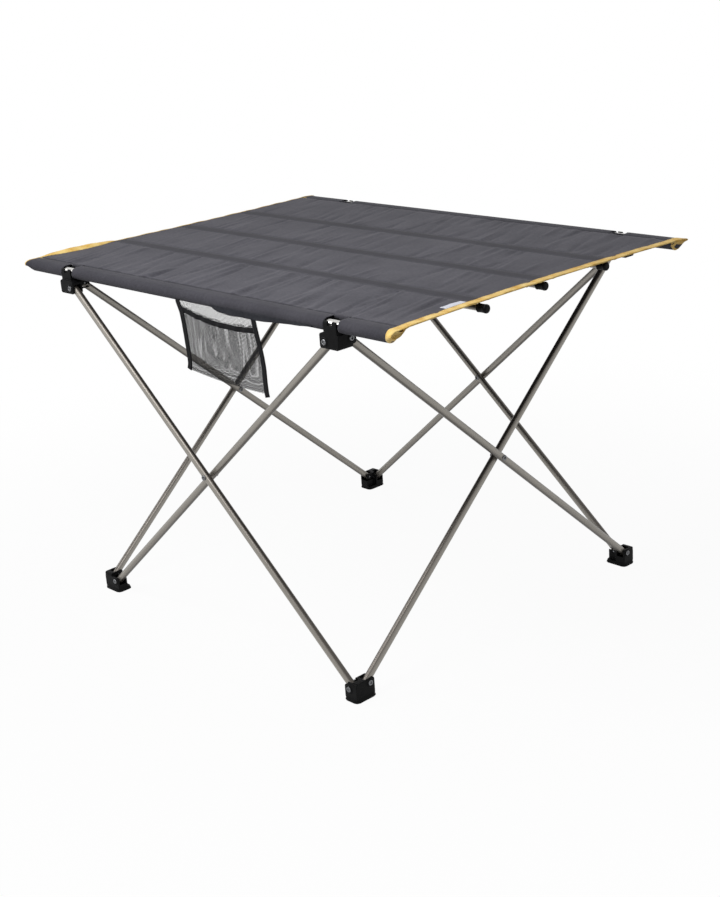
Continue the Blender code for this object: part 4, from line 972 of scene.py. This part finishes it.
# Seam stitches. Lock stitches of black polyester thread: one row along each sleeve, two beside
# each rod, and one of brown thread through the right binding. Each stitch is a short lump of thread
# sunk in the cloth.
STITCH_PITCH = 0.0032
STITCH_LENGTH = 0.0024
STITCH_WIDTH = 0.0006
STITCH_RISE = 0.0003
STITCH_AHEAD = 0.0005        # step along a row that gives a stitch its direction
STITCH_PROUD = 0.0001        # how far its middle stands off the cloth
STITCH_POINTS = [            # shares of a stitch's length, width and rise
    (-0.5, 0, -0.3), (-0.28, 0.5, 0.3), (-0.28, 0, 1), (-0.28, -0.5, 0.3),
    (0.28, 0.5, 0.3), (0.28, 0, 1), (0.28, -0.5, 0.3), (0.5, 0, -0.3),
]
STITCH_FACES = [(0, 2, 1), (0, 3, 2), (0, 1, 3), (1, 2, 5, 4), (2, 3, 6, 5), (3, 1, 4, 6),
                (4, 5, 7), (5, 6, 7), (6, 4, 7)]
ROW_INSET = 0.016            # end of the cloth to the end of a row
BINDING_ROW_HALF = 0.258
BINDING_ROW_INSET = 0.0100
BINDING_ROW_RISE = 0.0015

# Polyester sewing thread, dyed near black, and brown for the tape, with a slight lustre. Its plies
# are drawn 0.7 mm apart, coarser than real, so that they show.
PLY_MM = 0.6667
threads = []
for name, plain, dark, pale in (("polyester_sewing_thread", "#232327", "#1C1C20", "#2E2E33"),
                                ("polyester_thread_brown", "#8F6A2C", "#7E5C24", "#A27A38")):
    thread = new_material(name, plain)
    thread_place = add_node(thread, "TexCoord", {}, {})
    thread_twist = add_node(thread, "TexNoise", {"Scale": 1000 / PLY_MM, "Detail": 2.0},
                            {"Vector": (thread_place, "Object")})
    thread_tint = add_node(thread, "ValToRGB", {}, {"Fac": (thread_twist, "Fac")},
                           [(0.3, dark), (0.7, pale)])
    thread_shader = add_node(thread, "BsdfPrincipled",
                             {"Base Color": thread.diffuse_color, "Roughness": 0.55},
                             {"Base Color": (thread_tint, "Color")})
    add_node(thread, "OutputMaterial", {}, {"Surface": (thread_shader, "BSDF")})
    threads.append(thread)
sewing_thread, brown_thread = threads


def stitch_mesh(rows):
    """Stitches along rows of points. Each row is (points, direction out of the cloth)."""
    points, faces = [], []
    for path, out in rows:
        path, out = np.array(path, float), np.array(out, float)
        along = lengths_along(path)
        for i in range(int(along[-1] / STITCH_PITCH)):
            place = (i + 0.5) * STITCH_PITCH
            middle = np.array([np.interp(place, along, path[:, k]) for k in range(3)])
            after = np.array([np.interp(place + STITCH_AHEAD, along, path[:, k])
                              for k in range(3)])
            ahead_way = (after - middle) / np.linalg.norm(after - middle)
            side_way = np.cross(out, ahead_way)
            base = len(points)
            for share, wide, rise in STITCH_POINTS:
                points.append(tuple(middle + ahead_way * share * STITCH_LENGTH
                                    + side_way * wide * STITCH_WIDTH + out * rise * STITCH_RISE))
            faces += [tuple(base + k for k in face) for face in STITCH_FACES]
    mesh = bpy.data.meshes.new("stitches")
    mesh.from_pydata(points, [], faces)
    return cleaned(mesh, outward=True)


def cloth_height(x, y):
    """Height of the sheet's lower face at a place between the sleeves."""
    row = np.searchsorted(top_rows_y, y)
    column = np.clip(np.searchsorted(columns, x), 0, len(columns) - 1)
    return top_heights[np.clip(row, 0, len(top_rows_y) - 1), column]


stitch_rows = []
for seam in seam_lines:
    xs = np.linspace(-TOP_HALF_LENGTH + ROW_INSET, TOP_HALF_LENGTH - ROW_INSET, 400)
    path = [(end_bow(x, seam), seam, cloth_height(x, seam) + FABRIC + STITCH_PROUD) for x in xs]
    stitch_rows.append((path, (0, 0, 1)))
new_piece("top_stitches", stitch_mesh(stitch_rows), sewing_thread, "top")

path = [(TABLE_LENGTH / 2 - BINDING_ROW_INSET - END_BOW * (1 - (y / TOP_HALF_WIDTH) ** 2), y,
         FABRIC_HEIGHT + BINDING_ROW_RISE)
        for y in np.linspace(-BINDING_ROW_HALF, BINDING_ROW_HALF, 200)]
new_piece("binding_stitches", stitch_mesh([(path, (0, 0, 1))]), brown_thread, "top")


# Mesh pocket. A flat pouch of black polyester net under the front sleeve: a back panel that hangs
# from the sleeve's seam, and a lower front panel whose mouth hangs open in a shallow curve.
POCKET_LEFT_EDGE = [         # Z, X
    (0.3836, -0.0145), (0.3905, -0.0125), (0.410, -0.0122), (0.429, -0.0122),
    (0.445, -0.0142), (0.459, -0.0172), (0.472, -0.0235),
]
POCKET_RIGHT_EDGE = [
    (0.368, 0.1462), (0.378, 0.1440), (0.3897, 0.1432), (0.408, 0.1430), (0.423, 0.1410),
    (0.4375, 0.1385), (0.4525, 0.1358), (0.4666, 0.1332), (0.475, 0.1320),
]
POCKET_TOP = 0.4743
POCKET_BOTTOM_LEFT = 0.382
POCKET_BOTTOM_RIGHT = 0.3745
POCKET_FRONT = 0.2728
POCKET_BACK = 0.2662
MOUTH_LEFT = 0.467
MOUTH_RIGHT = 0.459
MOUTH_SAG = 0.0065
BOTTOM_SAG = 0.003           # how far the lower edge hangs down in its middle
BOTTOM_RISE = 0.0015         # how far that edge stands above its two heights given here
NET_PITCH = 0.0019
NET_WIDTH, NET_TALL = 0.160, 0.098
NET_EDGE = 0.015             # share of the width without cells, under each side tape
BACK_NET_OPEN = 0.74         # share of a cell's width that is open
FRONT_NET_OPEN = 0.63        # the front panel is gathered, so its cells are narrower
FRONT_BELLY = 0.0022
FRONT_FOLDS = 0.0011
BACK_FOLDS = 0.0005
PANEL_GAP = 0.0012           # between the panels where they meet

# Warp-knitted polyester net, dyed black: matt thread round open six-sided cells 1.9 mm across, with
# paler fluff about every 1.1 mm.
FLUFF_MM = 1.1111
knitted_net = new_material("knitted_polyester_net", "#18181A")
net_place = add_node(knitted_net, "TexCoord", {}, {})
net_fluff = add_node(knitted_net, "TexNoise", {"Scale": 1000 / FLUFF_MM, "Detail": 3.0},
                     {"Vector": (net_place, "Object")})
net_tint = add_node(knitted_net, "ValToRGB", {}, {"Fac": (net_fluff, "Fac")},
                    [(0.3, "#121214"), (0.7, "#202022")])
net_shader = add_node(knitted_net, "BsdfPrincipled",
                      {"Base Color": knitted_net.diffuse_color, "Roughness": 0.8,
                       "Specular IOR Level": 0.2},
                      {"Base Color": (net_tint, "Color")})
add_node(knitted_net, "OutputMaterial", {}, {"Surface": (net_shader, "BSDF")})


def pocket_point(share, depth):
    """X and Z of a place in the pocket: share from left to right, depth from top to bottom."""
    bottom = POCKET_BOTTOM_LEFT + (POCKET_BOTTOM_RIGHT - POCKET_BOTTOM_LEFT) * share
    bottom = bottom - BOTTOM_SAG * np.sin(np.pi * share) + BOTTOM_RISE
    z = POCKET_TOP + (bottom - POCKET_TOP) * depth
    left = np.interp(z, *np.array(POCKET_LEFT_EDGE).T)
    right = np.interp(z, *np.array(POCKET_RIGHT_EDGE).T)
    return left + (right - left) * share, z


def mouth_depth(share):
    """Depth of the front panel's edge at a share from left to right."""
    height = MOUTH_LEFT + (MOUTH_RIGHT - MOUTH_LEFT) * share - 4 * MOUTH_SAG * share * (1 - share)
    bottom = POCKET_BOTTOM_LEFT + (POCKET_BOTTOM_RIGHT - POCKET_BOTTOM_LEFT) * share
    return (POCKET_TOP - height) / (POCKET_TOP - bottom)


def front_panel_y(share, depth):
    """Y of the front panel, which bellies out and falls in soft upright folds."""
    belly = np.sin(np.pi * np.clip(share, 0, 1)) * np.sin(np.pi * np.clip(depth, 0, 1) ** 0.8)
    folds = (np.sin(share * 37 + 1.2 * np.sin(depth * 2.4)) * 0.6
             + np.sin(share * 61 + depth * 3.0) * 0.4)
    edge = np.clip(np.minimum(share, 1 - share) * 12, 0, 1)
    return (-POCKET_FRONT - FRONT_BELLY * belly
            - FRONT_FOLDS * folds * edge * np.clip((1 - depth) * 4, 0, 1))


def back_panel_y(share, depth):
    """Y of the back panel, which hangs straight and meets the front one at the sides and bottom."""
    folds = np.sin(share * 29 + 0.8 * np.sin(depth * 3))
    meet = np.maximum(smooth_step(depth, 0.8, 1.0),
                      1 - smooth_step(np.minimum(share, 1 - share), 0.01, 0.12))
    hang = -POCKET_BACK - BACK_FOLDS * folds * np.clip(depth * 3, 0, 1)
    return hang + (front_panel_y(share, depth) + PANEL_GAP - hang) * meet


def net_mesh(upper, panel_y, cell_open):
    """Net of six-sided cells over a panel of the pocket, from its upper edge to the bottom."""
    radius = NET_PITCH / math.sqrt(3)
    turns = [math.radians(30 + 60 * k) for k in range(6)]
    corners = [(math.cos(turn), math.sin(turn)) for turn in turns]
    points, faces = [], []
    for j in range(int(NET_TALL / (1.5 * radius)) + 2):
        for i in range(int(NET_WIDTH / NET_PITCH) + 2):
            centre_x = (i + 0.5 * (j % 2)) * NET_PITCH
            centre_y = j * 1.5 * radius
            share = centre_x / NET_WIDTH
            hidden = share > 1 - NET_EDGE or share < NET_EDGE
            if hidden or centre_y > NET_TALL or centre_y / NET_TALL < upper(share) - 0.02:
                continue
            base = len(points)
            for scale in (1.0, cell_open):
                for cx, cy in corners:
                    points.append((centre_x + radius * scale * cx, centre_y + radius * scale * cy))
            for k in range(6):
                after = (k + 1) % 6
                faces.append((base + k, base + after, base + 6 + after, base + 6 + k))
    flat = np.array(points)
    share = np.clip(flat[:, 0] / NET_WIDTH, 0, 1)
    depth = np.clip(flat[:, 1] / NET_TALL, 0, 1)
    x, z = pocket_point(share, depth)
    mesh = bpy.data.meshes.new("net")
    mesh.from_pydata(np.stack([x, panel_y(share, depth), z], axis=1).tolist(), [], faces)
    return cleaned(mesh, merge=0.00003, collapse=0.00002)


back_net = new_piece("pocket_back_net", net_mesh(lambda share: 0.0, back_panel_y, BACK_NET_OPEN),
                     knitted_net, "top", ["mesh_pocket"])
front_net = new_piece("pocket_front_net", net_mesh(mouth_depth, front_panel_y, FRONT_NET_OPEN),
                      knitted_net, "top")


# Pocket tape. Black woven tape, folded over both sides and the mouth of the pocket and sewn. The
# right one ends in a short tail below the bottom.
MOUTH_TAPE_WIDTH = 0.0070
SIDE_TAPE_WIDTH = 0.0088
TAPE = 0.0011                # thickness, folded and sewn
TAPE_PROUD = 0.0006          # of a side tape in front of the net
TAPE_INWARD = 0.0035         # pocket's edge to the middle of a side tape
TAPE_BILLOW = 0.0008         # how far a side tape swings forward, and sideways
TAPE_WOBBLE = 0.0005
TAIL = 0.035                 # of the right tape, as a share of the pocket's height
MOUTH_TAPE_PROUD = 0.0004
MOUTH_SPAN = 0.09            # height of the pocket, to lay out the mouth's tape as a share of it
SEWN_INWARD = 0.0060         # pocket's edge to the stitches of a side tape
SEWN_MOUTH_INSET = 0.0012    # lower edge of the mouth's tape to its stitches
TAPE_SECTION = [             # shares of the width and of the thickness
    (-0.5, 0.15), (-0.44, 0.85), (-0.25, 1.0), (0.0, 1.0), (0.25, 1.0), (0.44, 0.85),
    (0.5, 0.15), (0.46, 0.0), (0.0, 0.0), (-0.46, 0.0),
]

# Twill-woven polyester tape, dyed black, with slanting ribs 1 mm apart.
TWILL_MM = 1.0
twill_tape = new_material("twill_tape_black", "#161618")
twill_place = add_node(twill_tape, "UVMap", {"uv_map": "lay"}, {})
twill_slant = add_node(twill_tape, "Mapping", {"Rotation": (0, 0, math.radians(35))},
                       {"Vector": (twill_place, "UV")})
twill_ribs = add_node(twill_tape, "TexWave",
                      {"wave_type": "BANDS", "bands_direction": "Y", "Distortion": 0.3,
                       "Scale": 1000 / TWILL_MM / 20 * math.pi},
                      {"Vector": (twill_slant, "Vector")})
twill_tint = add_node(twill_tape, "ValToRGB", {}, {"Fac": (twill_ribs, "Fac")},
                      [(0.2, "#111113"), (0.8, "#1B1B1D")])
twill_bump = add_node(twill_tape, "Bump", {"Strength": 0.35, "Distance": 0.00015},
                      {"Height": (twill_ribs, "Fac")})
twill_shader = add_node(twill_tape, "BsdfPrincipled",
                        {"Base Color": twill_tape.diffuse_color, "Roughness": 0.85,
                         "Specular IOR Level": 0.15},
                        {"Base Color": (twill_tint, "Color"), "Normal": (twill_bump, "Normal")})
add_node(twill_tape, "OutputMaterial", {}, {"Surface": (twill_shader, "BSDF")})


def tape_mesh(middle, width):
    """Closed tape along a line of points, with its face to the front."""
    tangent = np.gradient(middle, axis=0)
    tangent /= np.linalg.norm(tangent, axis=1)[:, None]
    front = np.array([0.0, -1.0, 0.0])
    side = np.cross(tangent, front)
    side /= np.linalg.norm(side, axis=1)[:, None]
    along = lengths_along(middle)
    count = len(TAPE_SECTION)
    points, spots, faces = [], [], []
    for i in range(len(middle)):
        for across_share, out in TAPE_SECTION:
            points.append(middle[i] + side[i] * across_share * width + front * out * TAPE)
            spots.append((across_share * width, along[i]))
    for i in range(len(middle) - 1):
        for k in range(count):
            after = (k + 1) % count
            faces.append((i * count + k, i * count + after,
                          (i + 1) * count + after, (i + 1) * count + k))
    faces.append(tuple(range(count))[::-1])
    faces.append(tuple((len(middle) - 1) * count + k for k in range(count)))
    mesh = bpy.data.meshes.new("tape")
    mesh.from_pydata([tuple(p) for p in points], [], faces)
    layer = mesh.uv_layers.new(name="lay")
    for loop in mesh.loops:
        layer.data[loop.index].uv = spots[loop.vertex_index]
    return cleaned(mesh, outward=True)


def side_line(share, depths, inward):
    """Line down one side of the pocket, a distance in from its edge."""
    x, z = pocket_point(share, depths)
    y = -POCKET_FRONT - TAPE_PROUD - TAPE_BILLOW * np.sin(depths * 5 + share)
    return np.stack([x + inward + TAPE_WOBBLE * np.sin(depths * 9 + share * 4), y, z], axis=1)


def mouth_line(shares, down):
    """Line along the mouth of the pocket, a distance down from the front panel's edge."""
    x, z = pocket_point(shares, mouth_depth(shares) + down / MOUTH_SPAN)
    middle = mouth_depth(shares) + MOUTH_TAPE_WIDTH / 2 / MOUTH_SPAN
    return np.stack([x, front_panel_y(shares, middle) - MOUTH_TAPE_PROUD, z], axis=1)


tape_meshes, tape_lines = [], []
for share, way, tail in ((0.0, 1, 0.0), (1.0, -1, TAIL)):
    middle = side_line(share, np.linspace(0.0, 1.0 + tail, 34), way * TAPE_INWARD)
    tape_meshes.append(tape_mesh(middle, SIDE_TAPE_WIDTH))
    tape_lines.append(side_line(share, np.linspace(0.03, 0.99, 60), way * SEWN_INWARD))
middle = mouth_line(np.linspace(0.02, 0.98, 60), MOUTH_TAPE_WIDTH / 2)
tape_meshes.append(tape_mesh(middle, MOUTH_TAPE_WIDTH))
tape_lines.append(mouth_line(np.linspace(0.07, 0.93, 60), MOUTH_TAPE_WIDTH - SEWN_MOUTH_INSET))
tapes = new_piece("pocket_tapes", joined(tape_meshes), twill_tape, "top",
                  ["pocket_tape"])
tape_rows = [(line - (0, TAPE, 0), (0, -1, 0)) for line in tape_lines]
tape_stitches = new_piece("pocket_stitches", stitch_mesh(tape_rows), sewing_thread, "top")


# Sleeve hem. A loose edge of the front sleeve's cloth hangs below it beside the pocket. It is cut
# in a curve at its left end, and flutters a little.
FLAP_LEFT = 0.047
FLAP_CURVE = 0.036
FLAP_LEVEL_END = 0.135
FLAP_RIGHT = 0.236
FLAP_LOW = 0.468
FLAP_END_LOW = 0.4745
FLAP_HIGH = 0.4765
FLAP_Y = 0.2756
FLAP_CLOTH = 0.0006
FLAP_ROWS = 9
FLAP_PITCH = 0.003
FLAP_SETBACK = 0.0006        # the middle of its cloth lies this far behind FLAP_Y
FLAP_FLUTTER = 0.0007        # how far its lower edge swings, in long and in short waves
FLAP_RIPPLE = 0.0004
FLAP_LEAN = 0.0002

# The same woven polyester, painted darker as the shade under the sleeve, and without the sheen.
shaded_polyester = new_material("woven_polyester_painted_shade", "#2C2D33")
dark_place = add_node(shaded_polyester, "UVMap", {"uv_map": "lay"}, {})
dark_warp = add_node(shaded_polyester, "TexWave",
                     {"wave_type": "BANDS", "bands_direction": "X", "Distortion": 0.6,
                      "Scale": 1000 / YARN_MM / 20 * math.pi}, {"Vector": (dark_place, "UV")})
dark_object = add_node(shaded_polyester, "TexCoord", {}, {})
dark_slub = add_node(shaded_polyester, "TexNoise", {"Scale": 1000 / SLUB_MM, "Detail": 4.0},
                     {"Vector": (dark_object, "Object")})
dark_tint = add_node(shaded_polyester, "ValToRGB", {}, {"Fac": (dark_slub, "Fac")},
                     [(0.3, "#27282D"), (0.7, "#323338")])
dark_bump = add_node(shaded_polyester, "Bump", {"Strength": 0.3, "Distance": 0.00012},
                     {"Height": (dark_warp, "Fac")})
dark_shader = add_node(shaded_polyester, "BsdfPrincipled",
                       {"Base Color": shaded_polyester.diffuse_color, "Roughness": 0.88,
                        "Specular IOR Level": 0.15},
                       {"Base Color": (dark_tint, "Color"), "Normal": (dark_bump, "Normal")})
add_node(shaded_polyester, "OutputMaterial", {}, {"Surface": (dark_shader, "BSDF")})

along = spaced([FLAP_LEFT, FLAP_LEFT + FLAP_CURVE, FLAP_LEVEL_END, FLAP_RIGHT], FLAP_PITCH)
curve = np.sqrt(np.clip(1 - ((FLAP_LEFT + FLAP_CURVE - along) / FLAP_CURVE) ** 2, 0, 1))
lower = np.where(along < FLAP_LEFT + FLAP_CURVE,
                 FLAP_HIGH - (FLAP_HIGH - FLAP_LOW) * curve, FLAP_LOW)
rise = np.clip((along - FLAP_LEVEL_END) / (FLAP_RIGHT - FLAP_LEVEL_END), 0, 1)
lower = lower + (FLAP_END_LOW - FLAP_LOW) * rise
shares = np.linspace(0, 1, FLAP_ROWS)[:, None]
grid_x = np.tile(along, (FLAP_ROWS, 1))
grid_z = FLAP_HIGH + (lower - FLAP_HIGH) * shares
flutter = (FLAP_FLUTTER * np.sin(grid_x * 95) * shares ** 1.5
           + FLAP_RIPPLE * np.sin(grid_x * 211 + 1) * shares)
grid_y = -FLAP_Y + FLAP_SETBACK - flutter - FLAP_LEAN * shares
points = np.stack([grid_x, grid_y, grid_z], axis=-1)
spots = np.stack([grid_x, grid_z], axis=-1)
flap = new_piece("sleeve_hem", thickened(cloth_grid("hem", points, spots), FLAP_CLOTH, 0.0),
                 shaded_polyester, "top", ["sleeve_flap"])


# Tag. A small woven label of white satin polyester, left blank, sewn down beside the right
# binding. It lies nearly flat, with a slight ripple.
TAG_CLOTH = 0.0005
TAG_SHIFT = (0.0010, 0.0030)     # from the place of its solid
TAG_RISE = 0.0006
TAG_RIPPLE = 0.0002          # along it, and half of that across

# Satin-woven polyester, bleached: a cool white with a soft gloss. Its rib every 0.8 mm is coarser
# than real, so that it shows.
LABEL_RIB_MM = 0.8
satin_label = new_material("woven_satin_label", "#D8DAE6")
label_object = add_node(satin_label, "TexCoord", {}, {})
label_ribs = add_node(satin_label, "TexWave",
                      {"wave_type": "BANDS", "bands_direction": "Y", "Distortion": 0.3,
                       "Scale": 1000 / LABEL_RIB_MM / 20 * math.pi},
                      {"Vector": (label_object, "Object")})
label_tint = add_node(satin_label, "ValToRGB", {}, {"Fac": (label_ribs, "Fac")},
                      [(0.1, "#CDCFDC"), (0.9, "#E2E4EE")])
label_bump = add_node(satin_label, "Bump", {"Strength": 0.2, "Distance": 0.0001},
                      {"Height": (label_ribs, "Fac")})
label_shader = add_node(satin_label, "BsdfPrincipled",
                        {"Base Color": satin_label.diffuse_color, "Roughness": 0.55,
                         "Specular IOR Level": 0.4},
                        {"Base Color": (label_tint, "Color"), "Normal": (label_bump, "Normal")})
add_node(satin_label, "OutputMaterial", {}, {"Surface": (label_shader, "BSDF")})

tag_low, tag_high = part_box("blank_tag")
tag_x = spaced([tag_low.x, tag_high.x], 0.0008)
tag_y = spaced([tag_low.y, tag_high.y], 0.0012)
grid_x, grid_y = np.meshgrid(tag_x + TAG_SHIFT[0], tag_y + TAG_SHIFT[1])
grid_z = (tag_low.z + TAG_RISE + TAG_RIPPLE * np.sin(grid_y * 240)
          + TAG_RIPPLE / 2 * np.sin(grid_x * 900))
label_cloth = cloth_grid("label", np.stack([grid_x, grid_y, grid_z], axis=-1),
                         np.stack([grid_x, grid_y], axis=-1))
tag = new_piece("blank_label", thickened(label_cloth, TAG_CLOTH, -1.0), satin_label, "top",
                ["blank_tag"])


# Studio. A wide white floor under an even white sky, lit by two weak suns and one soft box above
# the front. The floor takes the table's faint shadow and fades into the white of the sky.
FLOOR_HALF = 6.0
FLOOR_LEVEL = -0.0004       # just under the feet
FLOOR_WHITE = 0.955         # share of even white in what shows of the floor by the table
FLOOR_FADE = (0.4, 1.3)     # from the middle, where that share starts to rise and where it is 1
SKY_LIGHT = 0.2             # strength with which the sky lights the table
SOFTBOX_SIZE = 0.7
LAMPS = [                   # name, kind, place or direction, strength, a sun's spread in degrees
    ("left_sun", "SUN", (-0.72, -0.36, 0.60), 0.6, 12),
    ("back_sun", "SUN", (0.15, 0.85, 0.60), 0.15, 30),
    ("front_softbox", "AREA", (0.05, -0.85, 1.36), 11.8, 0),
]


def looked_at(owner):
    """Node that is 1 for what the camera, a gloss or glass shows, and 0 for what gives light."""
    rays = add_node(owner, "LightPath", {}, {})
    seen = add_node(owner, "Math", {"operation": "MAXIMUM"},
                    {0: (rays, "Is Camera Ray"), 1: (rays, "Is Glossy Ray")})
    return add_node(owner, "Math", {"operation": "MAXIMUM"},
                    {0: (seen, "Value"), 1: (rays, "Is Transmission Ray")})


studio_white = new_material("studio_white", "#CCCCCC")
paper = add_node(studio_white, "BsdfDiffuse", {"Color": (0.75, 0.75, 0.75, 1)}, {})
glow = add_node(studio_white, "Emission", {"Color": (1, 1, 1, 1), "Strength": 1.0}, {})
floor_place = add_node(studio_white, "TexCoord", {}, {})
from_middle = add_node(studio_white, "VectorMath", {"operation": "LENGTH"},
                       {0: (floor_place, "Object")})
fade_out = add_node(studio_white, "MapRange",
                    {"interpolation_type": "SMOOTHSTEP", "From Min": FLOOR_FADE[0],
                     "From Max": FLOOR_FADE[1], "To Min": FLOOR_WHITE, "To Max": 1.0},
                    {"Value": (from_middle, "Value")})
white_share = add_node(studio_white, "Math", {"operation": "MULTIPLY"},
                       {0: (looked_at(studio_white), "Value"), 1: (fade_out, "Result")})
mixed = add_node(studio_white, "MixShader", {}, {0: (white_share, "Value"), 1: (paper, "BSDF"),
                                                 2: (glow, "Emission")})
add_node(studio_white, "OutputMaterial", {}, {"Surface": (mixed, "Shader")})
floor_corners = [(side_x * FLOOR_HALF, side_y * FLOOR_HALF, FLOOR_LEVEL)
                 for side_x, side_y in CORNERS.values()]
floor_mesh = bpy.data.meshes.new("studio_floor")
floor_mesh.from_pydata(floor_corners, [], [(0, 1, 2, 3)])
floor_mesh.materials.append(studio_white)
floor = bpy.data.objects.new("studio_floor", floor_mesh)
bpy.context.collection.objects.link(floor)

world = bpy.data.worlds.new("studio_sky")
bpy.context.scene.world = world
world.use_nodes = True
world.node_tree.nodes.clear()
sky_level = add_node(world, "MapRange", {"To Min": SKY_LIGHT, "To Max": 1.0},
                     {"Value": (looked_at(world), "Value")})
sky = add_node(world, "Background", {"Color": (1, 1, 1, 1)}, {"Strength": (sky_level, "Result")})
add_node(world, "OutputWorld", {}, {"Surface": (sky, "Background")})

for name, kind, place, strength, spread in LAMPS:
    lamp = bpy.data.objects.new(name, bpy.data.lights.new(name, kind))
    lamp.data.energy = strength
    if kind == "SUN":
        lamp.data.angle = math.radians(spread)
        toward = Vector(place)
    else:
        lamp.data.size = SOFTBOX_SIZE
        lamp.location = place
        toward = Vector(place) - Vector((0, 0, FABRIC_HEIGHT))
    lamp.rotation_euler = toward.to_track_quat("Z", "Y").to_euler()
    bpy.context.collection.objects.link(lamp)

bpy.context.scene.view_settings.view_transform = "Standard"
